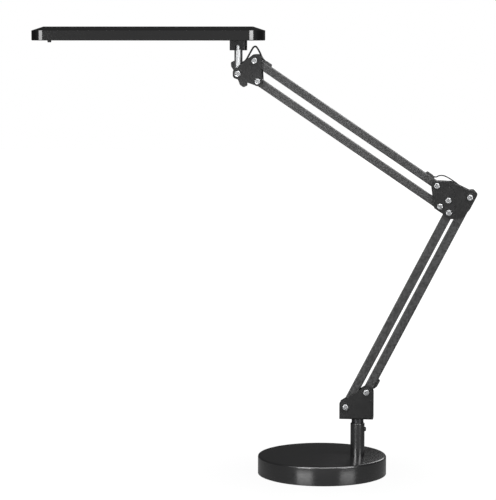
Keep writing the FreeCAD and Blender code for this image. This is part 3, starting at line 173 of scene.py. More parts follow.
class LampStudio(bpy.types.PropertyGroup):
    """Camera and lights."""

    yaw: bpy.props.FloatProperty(
        name="Camera yaw",
        description="How far the camera stands to the right of the lamp's front",
        subtype="ANGLE",
        default=math.radians(7.0),
    )
    pitch: bpy.props.FloatProperty(
        name="Camera pitch",
        description="How far the camera looks down",
        subtype="ANGLE",
        default=math.radians(5.7705),
    )
    distance: bpy.props.FloatProperty(
        name="Camera distance",
        description="Level distance from the lamp's origin to the camera",
        subtype="DISTANCE",
        unit="LENGTH",
        default=3.325,
    )
    side: bpy.props.FloatProperty(
        name="Camera side step",
        description="Camera's place to the right of the line through the origin",
        subtype="DISTANCE",
        unit="LENGTH",
        default=-0.1155,
    )
    height: bpy.props.FloatProperty(
        name="Camera height",
        description="Camera's height over the table",
        subtype="DISTANCE",
        unit="LENGTH",
        default=0.68695,
    )
    lens: bpy.props.FloatProperty(
        name="Lens",
        description="Focal length on a film 36 mm high",
        default=155.6,
    )
    backdrop: bpy.props.FloatProperty(
        name="Backdrop",
        description="Level at which the floor and the background are seen",
        default=1.0,
    )
    mirrored: bpy.props.FloatProperty(
        name="Mirrored backdrop",
        description="Share of the backdrop's white that shows in metal and lacquer",
        subtype="FACTOR",
        default=0.12,
    )
    fill: bpy.props.FloatProperty(
        name="Fill",
        description="Strength of the soft light from the front and above",
        default=0.42,
    )


# ------------------------------------------------------------------ finishes


class Value:
    """A shader value that takes part in sums written as Python."""

    def __init__(self, nodes, socket):
        self.nodes = nodes
        self.socket = socket

    def joined(self, operation, first, second):
        node = self.nodes.node("ShaderNodeMath", {"operation": operation}, {0: first, 1: second})
        return Value(self.nodes, node.outputs[0])

    def __add__(self, other):
        return self.joined("ADD", self, other)

    def __sub__(self, other):
        return self.joined("SUBTRACT", self, other)

    def __rsub__(self, other):
        return self.joined("SUBTRACT", other, self)

    def __mul__(self, other):
        return self.joined("MULTIPLY", self, other)

    def clipped(self):
        """The value, or 0 where it is below 0."""
        return self.joined("MAXIMUM", self, 0.0)

    def __gt__(self, other):
        return self.joined("GREATER_THAN", self, other)

    def __lt__(self, other):
        return self.joined("LESS_THAN", self, other)


class Nodes:
    """The nodes of one material or world."""

    def __init__(self, owner):
        owner.use_nodes = True
        self.tree = owner.node_tree
        self.tree.nodes.clear()

    def node(self, kind, settings=None, sockets=None):
        """Add a node: its settings first, then the values or links of its sockets."""
        made = self.tree.nodes.new(kind)
        for field, value in (settings or {}).items():
            if field == "stops":
                stops = made.color_ramp.elements
                while len(stops) < len(value):
                    stops.new(0.5)
                for stop, (position, shade) in zip(stops, value):
                    stop.position = position
                    stop.color = (shade, shade, shade, 1.0)
            else:
                setattr(made, field, value)
        for key, value in (sockets or {}).items():
            target = made.inputs[self.socket_name(made, key)]
            if isinstance(value, Value):
                self.tree.links.new(value.socket, target)
            else:
                target.default_value = value
        return made

    @staticmethod
    def socket_name(made, key):
        """The socket's own spelling of a name, whatever its capitals."""
        if isinstance(key, int):
            return key
        return next(socket.name for socket in made.inputs if socket.name.lower() == key.lower())

    def output(self, made, name=0):
        """One output of a node as a value."""
        return Value(self, made.outputs[name])


class Finish(Nodes):
    """One material: a surface shader and the nodes that vary it."""

    def __init__(self, name, colour, roughness, metallic=0.0, **fixed):
        self.material = bpy.data.materials.new(name)
        super().__init__(self.material)
        sockets = {"Base Color": (*colour, 1.0), "Roughness": roughness, "Metallic": metallic}
        sockets.update({key.replace("_", " "): value for key, value in fixed.items()})
        self.surface = self.node("ShaderNodeBsdfPrincipled", {}, sockets)
        self.ending = self.node("ShaderNodeOutputMaterial", {}, {0: self.output(self.surface)})
        self.place = None

    def where(self):
        """The point on the object, in metres."""
        if self.place is None:
            self.place = self.output(self.node("ShaderNodeTexCoord"), "Object")
        return self.place

    def axis(self, name):
        """One coordinate of that point."""
        return self.output(self.node("ShaderNodeSeparateXYZ", {}, {0: self.where()}), name)

    def noise(self, width, detail=3.0, roughness=0.55):
        """Cloudy noise whose patches are about that wide."""
        sockets = {
            "Vector": self.where(),
            "Scale": 1.0 / width,
            "Detail": detail,
            "Roughness": roughness,
        }
        return self.output(self.node("ShaderNodeTexNoise", {}, sockets), "Fac")

    def cells(self, width):
        """Distance to the nearest grain of a scatter that wide."""
        sockets = {"Vector": self.where(), "Scale": 1.0 / width}
        return self.output(self.node("ShaderNodeTexVoronoi", {}, sockets), "Distance")

    def ramp(self, value, *stops):
        """A value passed through a grey ramp."""
        node = self.node("ShaderNodeValToRGB", {"stops": stops}, {0: value})
        return self.output(node, "Color")

    def mix(self, factor, first, second):
        """A blend of two colours."""
        sockets = {0: factor, 6: first, 7: second}
        node = self.node("ShaderNodeMix", {"data_type": "RGBA"}, sockets)
        return self.output(node, 2)

    def drive(self, name, value):
        """Link a varying value to one of the surface's own sockets."""
        self.tree.links.new(value.socket, self.surface.inputs[name])

    def tint(self, factor, first, second):
        """Colour the surface with two colours by a factor."""
        self.drive("Base Color", self.mix(factor, (*first, 1.0), (*second, 1.0)))

    def bump(self, height, distance, strength=1.0):
        """Raise the surface by a height field."""
        sockets = {"Height": height, "Distance": distance, "Strength": strength}
        self.drive("Normal", self.output(self.node("ShaderNodeBump", {}, sockets)))


def shade(colour, factor):
    """A colour made lighter or darker."""
    return tuple(channel * factor for channel in colour)


def lacquer(name, colour, gloss=0.13):
    """Satin lacquer over steel: faint orange peel, cloudy gloss and a little dust."""
    finish = Finish(name, colour, 0.2, specular_ior_level=0.75)
    cloud = finish.noise(30 * MM, 4.0)
    grain = finish.noise(0.5 * MM, 2.0)
    finish.tint(grain, shade(colour, 0.82), shade(colour, 1.22))
    finish.drive("Roughness", cloud * 0.08 + grain * 0.05 + gloss)
    finish.bump(finish.noise(1.8 * MM, 2.0) + grain * 0.3, 0.012 * MM, 0.4)
    return finish.material


def powder_coat(name, colour, grain):
    """Fine hammered powder coat: close grains that catch the light."""
    finish = Finish(name, colour, 0.42)
    grains = finish.cells(grain)
    fine = finish.noise(0.5 * grain, 2.0)
    patches = finish.ramp(finish.noise(4.0 * grain, 2.0), (0.42, 0.0), (0.6, 1.0))
    finish.tint(patches, shade(colour, 0.3), shade(colour, 3.4))
    finish.drive("Roughness", fine * 0.2 + 0.3)
    finish.bump((1.0 - grains) * 0.5 + fine * 0.2 + patches * 0.8, 0.12 * MM, 0.9)
    return finish.material


def enamel(name, colour):
    """Thin black enamel on pressed sheet: soft sheen with fine scratches."""
    finish = Finish(name, colour, 0.34, specular_ior_level=0.4)
    streaks = finish.node(
        "ShaderNodeMapping", {}, {"Vector": finish.where(), "Scale": (2200.0, 2200.0, 240.0)}
    )
    lines = finish.node("ShaderNodeTexNoise", {}, {0: finish.output(streaks), "Scale": 1.0})
    scratches = finish.output(lines, "Fac")
    cloud = finish.noise(9 * MM, 3.0)
    finish.tint(cloud, shade(colour, 0.75), shade(colour, 1.3))
    finish.drive("Roughness", scratches * 0.16 + cloud * 0.1 + 0.2)
    finish.bump(finish.noise(0.8 * MM, 2.0), 0.03 * MM, 0.5)
    return finish.material


def moulded(name, colour, roughness=0.4):
    """Moulded plastic with a fine spark-eroded grain."""
    finish = Finish(name, colour, roughness)
    grain = finish.noise(0.45 * MM, 3.0)
    finish.tint(finish.noise(12 * MM, 2.0), shade(colour, 0.85), shade(colour, 1.15))
    finish.drive("Roughness", grain * 0.16 + (roughness - 0.08))
    finish.bump(grain, 0.03 * MM, 0.6)
    return finish.material


def turned_metal(name, colour, roughness, pitch=0.35 * MM):
    """Turned or plated metal: faint rings along its height and a cloudy polish."""
    finish = Finish(name, colour, roughness, 1.0)
    rings = finish.node(
        "ShaderNodeMapping",
        {},
        {"Vector": finish.where(), "Scale": (0.1 / pitch, 0.1 / pitch, 1.0 / pitch)},
    )
    lines = finish.node("ShaderNodeTexNoise", {}, {0: finish.output(rings), "Scale": 1.0})
    marks = finish.output(lines, "Fac")
    cloud = finish.noise(4 * MM, 3.0)
    finish.tint(cloud, shade(colour, 0.86), shade(colour, 1.05))
    finish.drive("Roughness", marks * 0.12 + cloud * 0.08 + (roughness - 0.08))
    finish.bump(marks, 0.008 * MM, 0.5)
    return finish.material


def cast_metal(name, colour):
    """Rough sand-cast iron."""
    finish = Finish(name, colour, 0.75, 0.6)
    sand = finish.noise(1.2 * MM, 5.0)
    finish.tint(sand, shade(colour, 0.6), shade(colour, 1.3))
    finish.drive("Roughness", sand * 0.3 + 0.55)
    finish.bump(sand, 0.25 * MM, 0.9)
    return finish.material


def rubber(name, colour):
    """Dull rubber with a faint bloom."""
    finish = Finish(name, colour, 0.6)
    bloom = finish.noise(2.5 * MM, 4.0)
    finish.tint(bloom, shade(colour, 0.75), shade(colour, 1.4))
    finish.drive("Roughness", bloom * 0.2 + 0.5)
    finish.bump(finish.noise(0.3 * MM, 2.0), 0.02 * MM, 0.6)
    return finish.material


def opal(name):
    """Milky light panel with the soft print of a prism film."""
    finish = Finish(name, (0.86, 0.86, 0.84), 0.3, subsurface_weight=0.25, subsurface_scale=0.004)
    cloud = finish.noise(18 * MM, 2.0)
    finish.tint(cloud, (0.84, 0.84, 0.82), (0.9, 0.9, 0.885))
    finish.drive("Roughness", cloud * 0.1 + 0.26)
    finish.bump(finish.noise(0.6 * MM, 1.0), 0.01 * MM, 0.5)
    return finish.material


def circuit_board(name, board, chip, face, upward):
    """Lacquered board whose chips have their own colour beyond its face."""
    finish = Finish(name, board, 0.35)
    height = finish.axis("Z")
    tracks = finish.ramp(finish.noise(2.6 * MM, 2.0), (0.48, 0.0), (0.52, 1.0))
    ground = finish.mix(tracks, (*board, 1.0), (*shade(board, 0.8), 1.0))
    beyond = height > face if upward else height < face
    finish.drive("Base Color", finish.mix(beyond, ground, (*chip, 1.0)))
    finish.drive("Roughness", finish.noise(1.5 * MM) * 0.2 + 0.25)
    return finish.material


def make_finishes(looks):
    """Every material slot of the record with its finish."""
    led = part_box("chip_board")[1][2] - BOARD - JUST_PAST
    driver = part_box("driver_board")[0][2] + BOARD + JUST_PAST
    return {
        "charcoal_lacquer": lacquer("charcoal_lacquer", looks.charcoal),
        "housing_lacquer": lacquer("housing_lacquer", shade(looks.charcoal, 0.5), 0.05),
        "bottom_panel": lacquer("bottom_panel", shade(looks.charcoal, 0.8)),
        "charcoal_hammered": powder_coat("charcoal_hammered", looks.arm, looks.grain),
        "dark_plate": enamel("dark_plate", looks.plate),
        "black_turret": enamel("black_turret", shade(looks.plate, 0.6)),
        "black_nylon": moulded("black_nylon", looks.nylon),
        "knob_plastic": moulded("knob_plastic", shade(looks.nylon, 0.8), 0.36),
        "pale_nylon": moulded("pale_nylon", (0.6, 0.59, 0.55), 0.5),
        "friction_disc": moulded("friction_disc", (0.09, 0.06, 0.04), 0.7),
        "bright_screw": turned_metal("bright_screw", shade(looks.steel, 0.5), 0.32, 0.2 * MM),
        "bright_stem": turned_metal("bright_stem", shade(looks.steel, 0.66), 0.36),
        "zinc_steel": turned_metal("zinc_steel", shade(looks.steel, 0.72), 0.36),
        "blackened_steel": turned_metal("blackened_steel", (0.05, 0.05, 0.052), 0.34),
        "bare_aluminium": turned_metal("bare_aluminium", (0.6, 0.6, 0.61), 0.4),
        "cast_iron": cast_metal("cast_iron", (0.12, 0.12, 0.12)),
        "soft_pad": rubber("soft_pad", (0.012, 0.012, 0.012)),
        "cable_rubber": rubber("cable_rubber", (0.004, 0.004, 0.0042)),
        "opal_acrylic": opal("opal_acrylic"),
        "white_reflector": moulded("white_reflector", (0.82, 0.82, 0.82), 0.3),
        "chip_board_white": circuit_board(
            "chip_board_white", (0.8, 0.8, 0.77), (0.8, 0.6, 0.12), led, False
        ),
        "green_board": circuit_board(
            "green_board", (0.02, 0.16, 0.07), (0.03, 0.03, 0.03), driver, True
        ),
    }


FINISHES = {}


# ------------------------------------------------------------------ shaping


def add_piece(name, mesh, body, slot, nodes=()):
    """Put a finished mesh in the scene, on its body and in place of its CAD nodes."""
    piece = bpy.data.objects.new(name, mesh)
    bpy.context.scene.collection.objects.link(piece)
    mesh.materials.clear()
    mesh.materials.append(FINISHES[slot])
    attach(piece, body)
    if nodes:
        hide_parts(*nodes)
    return piece


def mesh_from(bm, name, smooth=35.0):
    """Turn a bmesh into a mesh with outward faces, smooth but for its sharp edges."""
    bmesh.ops.remove_doubles(bm, verts=bm.verts, dist=1e-7)
    bmesh.ops.recalc_face_normals(bm, faces=bm.faces)
    mesh = bpy.data.meshes.new(name)
    bm.to_mesh(mesh)
    bm.free()
    mesh.shade_smooth()
    mesh.set_sharp_from_angle(angle=math.radians(smooth))
    return mesh


def softened(node, width, segments=2, angle=32.0):
    """A copy of a CAD node with its flats joined up, its edges rounded and smooth shading."""
    bm = bmesh.new()
    bm.from_mesh(frame["nodes"][node].data)
    bmesh.ops.remove_doubles(bm, verts=bm.verts, dist=1e-6)
    bmesh.ops.dissolve_limit(bm, angle_limit=math.radians(0.6), verts=bm.verts, edges=bm.edges)
    mesh = bpy.data.meshes.new(node + "_soft")
    bm.to_mesh(mesh)
    bm.free()
    mesh.shade_smooth()
    piece = add_piece(node + "_soft", mesh, BODY_OF[node], SLOTS[node], (node,))
    bevel = piece.modifiers.new("Rounded edges", "BEVEL")
    bevel.width = width
    bevel.segments = segments
    bevel.limit_method = "ANGLE"
    bevel.angle_limit = math.radians(angle)
    normals = piece.modifiers.new("Level flats", "WEIGHTED_NORMAL")
    normals.mode = "FACE_AREA"
    normals.weight = 50
    return piece


def spline_points(name, route):
    """Points along the smooth curve that a cable's route pulls into shape."""
    curve = bpy.data.curves.new(name, "CURVE")
    curve.dimensions = "3D"
    spline = curve.splines.new("NURBS")
    spline.points.add(len(route) - 1)
    for point, spot in zip(spline.points, route):
        point.co = (*spot, 1.0)
    spline.order_u = 3
    spline.use_endpoint_u = True
    spline.resolution_u = 10
    holder = bpy.data.objects.new(name, curve)
    bpy.context.scene.collection.objects.link(holder)
    bpy.context.view_layer.update()
    mesh = bpy.data.meshes.new_from_object(holder)
    points = [vert.co.copy() for vert in mesh.vertices]
    bpy.data.objects.remove(holder)
    return points


def arc_points(centre, radius, start, end, steps):
    """Points of an arc in the lathe's half plane."""
    turns = [math.radians(start + (end - start) * step / steps) for step in range(steps + 1)]
    return [(centre[0] + radius * math.cos(t), centre[1] + radius * math.sin(t)) for t in turns]


def lathe(bm, profile, place, axis=(0.0, 0.0, 1.0), steps=64):
    """Turn a (radius, height) profile about an axis through a place."""
    turn = Vector((0.0, 0.0, 1.0)).rotation_difference(Vector(axis)).to_matrix().to_4x4()
    matrix = Matrix.Translation(place) @ turn
    verts = [bm.verts.new(matrix @ Vector((radius, 0.0, height))) for radius, height in profile]
    edges = [bm.edges.new(pair) for pair in zip(verts, verts[1:])]
    bmesh.ops.spin(
        bm,
        geom=verts + edges,
        cent=matrix.translation,
        axis=matrix.to_3x3() @ Vector((0.0, 0.0, 1.0)),
        angle=math.tau,
        steps=steps,
        use_merge=True,
    )


def islands(node):
    """The box of each separate solid of a CAD node, from the left."""
    bm = bmesh.new()
    bm.from_mesh(frame["nodes"][node].data)
    bmesh.ops.remove_doubles(bm, verts=bm.verts, dist=1e-6)
    left = set(bm.verts)
    boxes = []
    while left:
        found = [left.pop()]
        for vert in found:
            for edge in vert.link_edges:
                other = edge.other_vert(vert)
                if other in left:
                    left.remove(other)
                    found.append(other)
        corners = zip(*(vert.co for vert in found))
        boxes.append([(min(values), max(values)) for values in corners])
    bm.free()
    return sorted(boxes)


def carve(mesh, cutters):
    """The mesh with each of some bmeshes cut out of it."""
    for cutter in cutters:
        tool = bpy.data.objects.new("cutter", mesh_from(cutter, "cutter"))
        body = bpy.data.objects.new("carved", mesh)
        for thing in (tool, body):
            bpy.context.scene.collection.objects.link(thing)
        cut = body.modifiers.new("Cut", "BOOLEAN")
        cut.operation = "DIFFERENCE"
        cut.solver = "EXACT"
        cut.object = tool
        shown = body.evaluated_get(bpy.context.evaluated_depsgraph_get())
        mesh = bpy.data.meshes.new_from_object(shown)
        for thing in (tool, body):
            bpy.data.objects.remove(thing)
    return mesh


def screw_mesh(head, shank, tall, length):
    """Pan-head screw along Z, its head's underside at the origin, with a cross recess."""
    bm = bmesh.new()
    crown = 0.35 * tall
    turn_in = head * 0.3
    pitch, depth, thread = 0.8 * MM, 0.3 * MM, 7.2 * MM
    profile = [(0.0, tall)]
    profile += [(head * 0.35, tall - crown * 0.12)]
    profile += arc_points((head - turn_in, tall - crown - turn_in * 0.2), turn_in, 70, 0, 6)
    profile += [(head, 0.15 * MM), (head - 0.15 * MM, 0.0), (shank, 0.0)]
    height = -(length - thread)
    while height > -length + pitch:
        profile += [(shank, height), (shank - depth, height - pitch / 2)]
        height -= pitch
    profile += [(shank - 0.35 * MM, -length), (0.0, -length)]
    lathe(bm, profile, (0.0, 0.0, 0.0), steps=36)
    mesh = mesh_from(bm, "screw_blank")
    cutters = []
    arm, half = head * 0.52, 0.5 * MM
    for reach_x, reach_y in ((arm, half), (half, arm)):
        cutter = bmesh.new()
        bmesh.ops.create_cube(cutter, size=2.0)
        top = [vert for vert in cutter.verts if vert.co.z > 0]
        bmesh.ops.scale(cutter, vec=(1.35, 1.35, 1.0), verts=top)
        scale = Matrix.Diagonal((reach_x, reach_y, tall * 0.3, 1.0))
        place = Matrix.Translation((0.0, 0.0, tall * 0.85)) @ scale
        bmesh.ops.transform(cutter, matrix=place, verts=cutter.verts)
        cutters.append(cutter)
    return carve(mesh, cutters)


def nut_mesh(flat, bore, thick):
    """Lock nut along Z from the origin: a hexagon with turned corners and a round collar."""
    bm = bmesh.new()
    hexagon = thick * 0.68
    made = bmesh.ops.create_cone(
        bm,
        cap_ends=True,
        segments=6,
        radius1=flat / math.cos(math.pi / 6),
        radius2=flat / math.cos(math.pi / 6),
        depth=hexagon,
        matrix=Matrix.Translation((0.0, 0.0, hexagon / 2)) @ Matrix.Rotation(math.pi / 6, 4, "Z"),
    )
    rim = [edge for edge in bm.edges if abs(edge.verts[0].co.z - edge.verts[1].co.z) < 1e-7]
    bmesh.ops.bevel(
        bm, geom=rim, offset=0.35 * MM, affect="EDGES", segments=2, profile=0.5, material=-1
    )
    edge = 0.5 * MM
    collar = [(bore, hexagon - edge), (flat - 0.3 * MM, hexagon - edge)]
    collar += arc_points((flat - 0.3 * MM - edge, thick - edge), edge, 0, 90, 4)
    collar += [(bore + 0.3 * MM, thick), (bore, thick - 0.4 * MM), (bore, hexagon - edge)]
    ring = bmesh.new()
    lathe(ring, collar, (0.0, 0.0, 0.0), steps=32)
    mesh = mesh_from(ring, "collar")
    bm.from_mesh(mesh)
    bpy.data.meshes.remove(mesh)
    return mesh_from(bm, "nut_blank")


def scattered(name, blank, node, places):
    """One piece of copies of a mesh that stands for a node of several equal solids."""
    bm = bmesh.new()
    for matrix in places:
        before = len(bm.verts)
        bm.from_mesh(blank)
        bm.verts.ensure_lookup_table()
        bmesh.ops.transform(bm, matrix=matrix, verts=bm.verts[before:])
    mesh = bpy.data.meshes.new(name)
    bm.to_mesh(mesh)
    bm.free()
    mesh.shade_smooth()
    mesh.set_sharp_from_angle(angle=math.radians(35.0))
    return add_piece(name, mesh, BODY_OF[node], SLOTS[node], (node,))


# Local +Z turned to the front of the lamp, and to its back.
TO_FRONT = Matrix.Rotation(math.radians(90.0), 4, "X")
TO_BACK = Matrix.Rotation(math.radians(-90.0), 4, "X")


class Recipe(bpy.types.Operator):
    """Common parts of the lamp's operators."""

    bl_options = {"REGISTER", "UNDO"}

    @property
    def looks(self):
        return bpy.context.scene.lamp_finishes

    @property
    def edges(self):
        return bpy.context.scene.lamp_edges


class LAMP_OT_stage(Recipe):
    """Set up the floor, the soft studio light and the camera"""

    bl_idname = "lamp.stage"
    bl_label = "Stage"

    # Metres from the lamp, and the share of plain white in the floor there.
    WHITE_BY_DISTANCE = ((0.12, 0.86), (0.6, 1.0))

    def execute(self, context):
        studio = context.scene.lamp_studio
        self.add_floor(studio)
        self.add_world(context.scene, studio)
        self.add_camera(context.scene, studio)
        self.add_lights()
        context.scene.view_settings.view_transform = "Standard"
        return {"FINISHED"}

    def add_floor(self, studio):
        """A smooth pale table that is seen white and keeps a faint shadow."""
        bm = bmesh.new()
        bmesh.ops.create_grid(bm, x_segments=1, y_segments=1, size=9.0)
        floor = bpy.data.objects.new("floor", mesh_from(bm, "floor"))
        bpy.context.scene.collection.objects.link(floor)
        finish = Finish("pale_floor", (0.1, 0.1, 0.1), 0.14)
        path = finish.node("ShaderNodeLightPath")
        straight = finish.output(path, "Is Camera Ray")
        mirrored = finish.output(path, "Is Glossy Ray")
        through = finish.output(path, "Is Transmission Ray")
        reach = finish.node("ShaderNodeVectorMath", {"operation": "LENGTH"}, {0: finish.where()})
        white_at = finish.ramp(finish.output(reach, "Value"), *self.WHITE_BY_DISTANCE)
        share = straight * white_at + mirrored * studio.mirrored + through * white_at
        white = finish.node("ShaderNodeEmission", {}, {"Strength": studio.backdrop * 1.12})
        sockets = {0: share, 1: finish.output(finish.surface), 2: finish.output(white)}
        blend = finish.node("ShaderNodeMixShader", {}, sockets)
        finish.tree.links.new(blend.outputs[0], finish.ending.inputs[0])
        floor.data.materials.append(finish.material)

    def add_world(self, scene, studio):
        """Soft light from the front, seen by the camera as plain white."""
        scene.world = bpy.data.worlds.new("studio")
        sky = Nodes(scene.world)
        way = sky.node("ShaderNodeSeparateXYZ", {}, {0: sky.output(sky.node("ShaderNodeTexCoord"))})
        ahead = (0.0 - sky.output(way, "Y")).clipped()
        over = sky.output(way, "Z").clipped()
        level = (ahead * ahead * 0.9 + over * over * 0.1 + 0.1) * studio.fill
        plain = (1.0, 1.0, 1.0, 1.0)
        light = sky.node("ShaderNodeBackground", {}, {0: plain, "Strength": level})
        white = sky.node("ShaderNodeBackground", {}, {0: plain, "Strength": studio.backdrop})
        path = sky.node("ShaderNodeLightPath")
        seen = sky.output(path, "Is Camera Ray")
        sockets = {0: seen, 1: sky.output(light), 2: sky.output(white)}
        blend = sky.node("ShaderNodeMixShader", {}, sockets)
        sky.node("ShaderNodeOutputWorld", {}, {0: sky.output(blend)})

    def add_camera(self, scene, studio):
        """The photograph's viewpoint."""
        yaw, pitch = studio.yaw, studio.pitch
        right = Vector((math.cos(yaw), math.sin(yaw), 0.0))
        out = Vector((math.sin(yaw), -math.cos(yaw), 0.0))
        back = out * math.cos(pitch) + Vector((0.0, 0.0, math.sin(pitch)))
        up = back.cross(right)
        data = bpy.data.cameras.new("camera")
        data.sensor_fit = "VERTICAL"
        data.sensor_height = 36.0
        data.lens = studio.lens
        data.clip_end = 60.0
        camera = bpy.data.objects.new("camera", data)
        place = right * studio.side + out * studio.distance + Vector((0.0, 0.0, studio.height))
        turn = Matrix((right, up, back)).transposed().to_4x4()
        camera.matrix_world = Matrix.Translation(place) @ turn
        scene.collection.objects.link(camera)
        scene.camera = camera

    def add_lights(self):
        """Low soft boxes for the base, a high one for its rim, a pair for the light bar."""
        base = Vector((0.0, 0.0, 0.03))
        arms = Vector((0.1, 0.0, 0.4))
        head = Vector((-0.25, 0.0, 0.68))
        for name, place, aim, size, radiance in (
            ("low_left_box", (-0.38, -0.82, 0.28), base, (0.42, 0.28), 16.0),
            ("low_right_box", (0.70, -0.59, 0.28), base, (0.42, 0.28), 11.0),
            ("high_box", (0.25, -0.75, 1.75), base, (2.6, 0.5), 15.0),
            ("head_left_box", (-1.0, -1.0, 0.72), head, (0.56, 0.14), 9.0),
            ("head_right_box", (0.26, -0.95, 0.73), head, (0.52, 0.14), 11.0),
            ("back_box", (0.7, 2.7, 1.4), arms, (1.4, 1.0), 3.0),
        ):
            self.add_box(name, Vector(place), aim, size, radiance)

    @staticmethod
    def add_box(name, place, aim, size, radiance):
        """A soft box of a given brightness per area, turned to a point."""
        data = bpy.data.lights.new(name, "AREA")
        data.shape = "RECTANGLE"
        data.size, data.size_y = size
        data.energy = radiance * math.pi * size[0] * size[1]
        lamp = bpy.data.objects.new(name, data)
        lamp.visible_camera = False
        turn = (place - aim).to_track_quat("Z", "Y").to_matrix().to_4x4()
        lamp.matrix_world = Matrix.Translation(place) @ turn
        bpy.context.scene.collection.objects.link(lamp)


class LAMP_OT_finishes(Recipe):
    """Give every solid of the lamp the finish of its slot"""

    bl_idname = "lamp.finishes"
    bl_label = "Finishes"

    def execute(self, context):
        FINISHES.update(make_finishes(self.looks))
        for name, node in frame["nodes"].items():
            for slot in node.material_slots:
                slot.material = FINISHES[SLOTS[name]]
            if not node.material_slots:
                node.data.materials.append(FINISHES[SLOTS[name]])
        return {"FINISHED"}


class LAMP_OT_base(Recipe):
    """Turn the base cover and the post with their soft edges"""

    bl_idname = "lamp.base"
    bl_label = "Base and post"

    def execute(self, context):
        low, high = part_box("base_cover")
        radius = (high[0] - low[0]) / 2
        wall, edge = 2.0 * MM, 2.8 * MM
        top, foot = high[2], low[2]
        bm = bmesh.new()
        profile = [(0.0, top)]
        profile += arc_points((radius - edge, top - edge), edge, 90, 0, 8)
        profile += arc_points((radius - 0.5 * MM, foot + 0.5 * MM), 0.5 * MM, 0, -90, 3)
        profile += [(radius - wall, foot), (radius - wall, top - wall), (0.0, top - wall)]
        lathe(bm, profile, (0.0, 0.0, 0.0), steps=160)
        mesh = mesh_from(bm, "base_cover_turned")
        add_piece("base_cover_turned", mesh, "base", SLOTS["base_cover"], ("base_cover",))
        self.add_post()
        for node in ("post_set_screw", "cable_bush", "base_pad"):
            softened(node, 0.3 * MM)
        return {"FINISHED"}

    @staticmethod
    def add_post():
        low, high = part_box("post_tube")
        place = ((low[0] + high[0]) / 2, 0.0, 0.0)
        radius, wall, edge = (high[0] - low[0]) / 2, 2.0 * MM, 0.7 * MM
        bm = bmesh.new()
        profile = [(radius - wall, low[2]), (radius, low[2])]
        profile += arc_points((radius - edge, high[2] - edge), edge, 0, 90, 5)
        profile += [(radius - wall, high[2]), (radius - wall, low[2])]
        lathe(bm, profile, place, steps=72)
        mesh = mesh_from(bm, "post_turned")
        add_piece("post_turned", mesh, "base", SLOTS["post_tube"], ("post_tube",))


class LAMP_OT_brackets(Recipe):
    """Round the edges of the pressed brackets and plates"""

    bl_idname = "lamp.brackets"
    bl_label = "Brackets"

    def execute(self, context):
        for node in (
            "lower_bracket",
            "elbow_front_plate",
            "elbow_rear_plate",
            "elbow_front_cheek",
            "elbow_rear_cheek",
            "wrist_front_plate",
            "wrist_rear_plate",
        ):
            softened(node, self.edges.pressed)
        softened("swivel_spigot", 0.2 * MM)
        return {"FINISHED"}


class LAMP_OT_bars(Recipe):
    """Smooth the square bars and their moulded ends"""

    bl_idname = "lamp.bars"
    bl_label = "Bars"

    def execute(self, context):
        for bar in ("lower_left", "lower_right", "upper_top", "upper_low"):
            softened(bar + "_tube", 0.2 * MM, 1)
            softened(bar + "_near_plug", self.edges.moulded)
            softened(bar + "_far_plug", self.edges.moulded)
        return {"FINISHED"}


class LAMP_OT_fasteners(Recipe):
    """Round the screws and nuts"""

    bl_idname = "lamp.fasteners"
    bl_label = "Screws and nuts"

    def execute(self, context):
        for group in ("foot", "elbow", "wrist"):
            self.add_screws(group + "_screws", 2.5 * MM)
            self.add_nuts(group + "_nuts", 2.55 * MM)
        self.add_screws("clamp_bolt", 3.0 * MM)
        return {"FINISHED"}

    @staticmethod
    def add_screws(node, shank):
        """Turned screws, each in its own solid's place and with a turn of its own."""
        tall = 2.6 * MM
        boxes = islands(node)
        (x_low, x_high), (y_low, y_high), _ = boxes[0]
        head = (x_high - x_low) / 2
        blank = screw_mesh(head, shank, tall, y_high - y_low - tall)
        places = []
        for index, (xs, ys, zs) in enumerate(boxes):
            place = Vector((sum(xs) / 2, ys[0] + tall, sum(zs) / 2))
            turn = Matrix.Rotation(math.radians(17 + 41 * index), 4, "Z")
            places.append(Matrix.Translation(place) @ TO_FRONT @ turn)
        scattered(node + "_turned", blank, node, places)

    @staticmethod
    def add_nuts(node, bore):
        """Lock nuts in their solids' places, their collars to the back."""
        boxes = islands(node)
        (x_low, x_high), (y_low, y_high), (z_low, z_high) = boxes[0]
        flat = min(x_high - x_low, z_high - z_low) / 2
        blank = nut_mesh(flat, bore, y_high - y_low)
        places = []
        for xs, ys, zs in boxes:
            place = Vector((sum(xs) / 2, ys[0], sum(zs) / 2))
            places.append(Matrix.Translation(place) @ TO_BACK)
        scattered(node + "_turned", blank, node, places)


class LAMP_OT_head(Recipe):
    """Finish the stem, the turret, the knob and the light bar"""

    bl_idname = "lamp.head"
    bl_label = "Stem and light bar"

    def execute(self, context):
        softened("stem", 0.25 * MM)
        softened("turret", self.edges.moulded)
        softened("wing_knob", 1.0 * MM, 3)
        softened("light_housing", self.edges.housing, 3)
        softened("light_bottom_plate", 0.2 * MM)
        softened("push_button", 0.4 * MM)
        return {"FINISHED"}


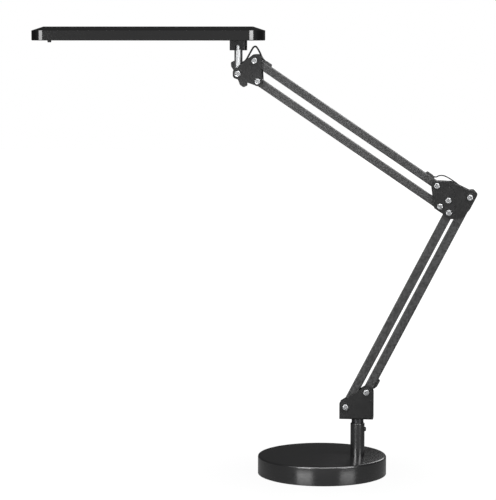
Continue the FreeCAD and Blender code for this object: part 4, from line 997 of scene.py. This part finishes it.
class LAMP_OT_cables(Recipe):
    """Lay the cable's free loops over the elbow and the wrist"""

    bl_idname = "lamp.cables"
    bl_label = "Cable loops"

    def execute(self, context):
        self.add_wrist_loop()
        self.add_elbow_loop()
        return {"FINISHED"}

    def add_wrist_loop(self):
        """The loop over the wrist, parted at its top into two halves."""
        line = spline_points("wrist_route", WRIST_ROUTE)
        top = max(range(len(line)), key=lambda index: line[index].z)
        self.add_cord("wrist_cable_bar", line[: top + 1], 2.8 * MM, "upper_top_bar", "wrist")
        self.add_cord("wrist_cable_stem", line[top:], 2.8 * MM, "wrist", "stem")

    def add_elbow_loop(self):
        """The thinner loop over the elbow, from the upper bar into the lower one."""
        line = spline_points("elbow_route", ELBOW_ROUTE)
        self.add_cord("elbow_cable", line, 2.0 * MM, "upper_top_bar", "elbow", reach=0.5)

    @staticmethod
    def add_cord(node, line, thick, near, far, reach=1.0):
        """A round cable along a line; the near and far bodies and the reach are not used."""
        curve = bpy.data.curves.new(node + "_tube", "CURVE")
        curve.dimensions = "3D"
        curve.bevel_depth = thick / 2
        curve.bevel_resolution = 4
        curve.use_fill_caps = True
        spline = curve.splines.new("POLY")
        spline.points.add(len(line) - 1)
        for point, spot in zip(spline.points, line):
            point.co = (*spot, 1.0)
        holder = bpy.data.objects.new(node + "_tube", curve)
        bpy.context.scene.collection.objects.link(holder)
        bpy.context.view_layer.update()
        mesh = bpy.data.meshes.new_from_object(holder)
        bpy.data.objects.remove(holder)
        mesh.name = node + "_loop"
        mesh.shade_smooth()
        piece = bpy.data.objects.new(node + "_loop", mesh)
        bpy.context.scene.collection.objects.link(piece)
        mesh.materials.clear()
        mesh.materials.append(FINISHES["cable_rubber"])
        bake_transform(piece)
        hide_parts(node)


class LAMP_PT_panel(bpy.types.Panel):
    """The lamp's settings and steps"""

    bl_idname = "LAMP_PT_panel"
    bl_label = "Desk lamp"
    bl_space_type = "VIEW_3D"
    bl_region_type = "UI"
    bl_category = "Lamp"

    def draw(self, context):
        for name in GROUPS:
            group = getattr(context.scene, name)
            column = self.layout.column(heading=group.bl_rna.name)
            for field in group.__annotations__:
                column.prop(group, field)
        for step in STEPS:
            self.layout.operator(step.bl_idname)


GROUPS = {
    "lamp_finishes": LampFinishes,
    "lamp_edges": LampEdges,
    "lamp_studio": LampStudio,
}
STEPS = (
    LAMP_OT_stage,
    LAMP_OT_finishes,
    LAMP_OT_base,
    LAMP_OT_brackets,
    LAMP_OT_bars,
    LAMP_OT_fasteners,
    LAMP_OT_head,
    LAMP_OT_cables,
)


def register():
    """Register the classes and hang the settings on the scene."""
    for group in GROUPS.values():
        bpy.utils.register_class(group)
    for step in (*STEPS, LAMP_PT_panel):
        bpy.utils.register_class(step)
    for name, group in GROUPS.items():
        setattr(bpy.types.Scene, name, bpy.props.PointerProperty(type=group))


def unregister():
    """Take everything back."""
    for name in GROUPS:
        delattr(bpy.types.Scene, name)
    for step in reversed((*STEPS, LAMP_PT_panel)):
        bpy.utils.unregister_class(step)
    for group in reversed(GROUPS.values()):
        bpy.utils.unregister_class(group)


def main():
    """Dress the lamp, step by step."""
    register()
    for step in STEPS:
        area, name = step.bl_idname.split(".")
        getattr(getattr(bpy.ops, area), name)()


if __name__ == "__main__":
    main()
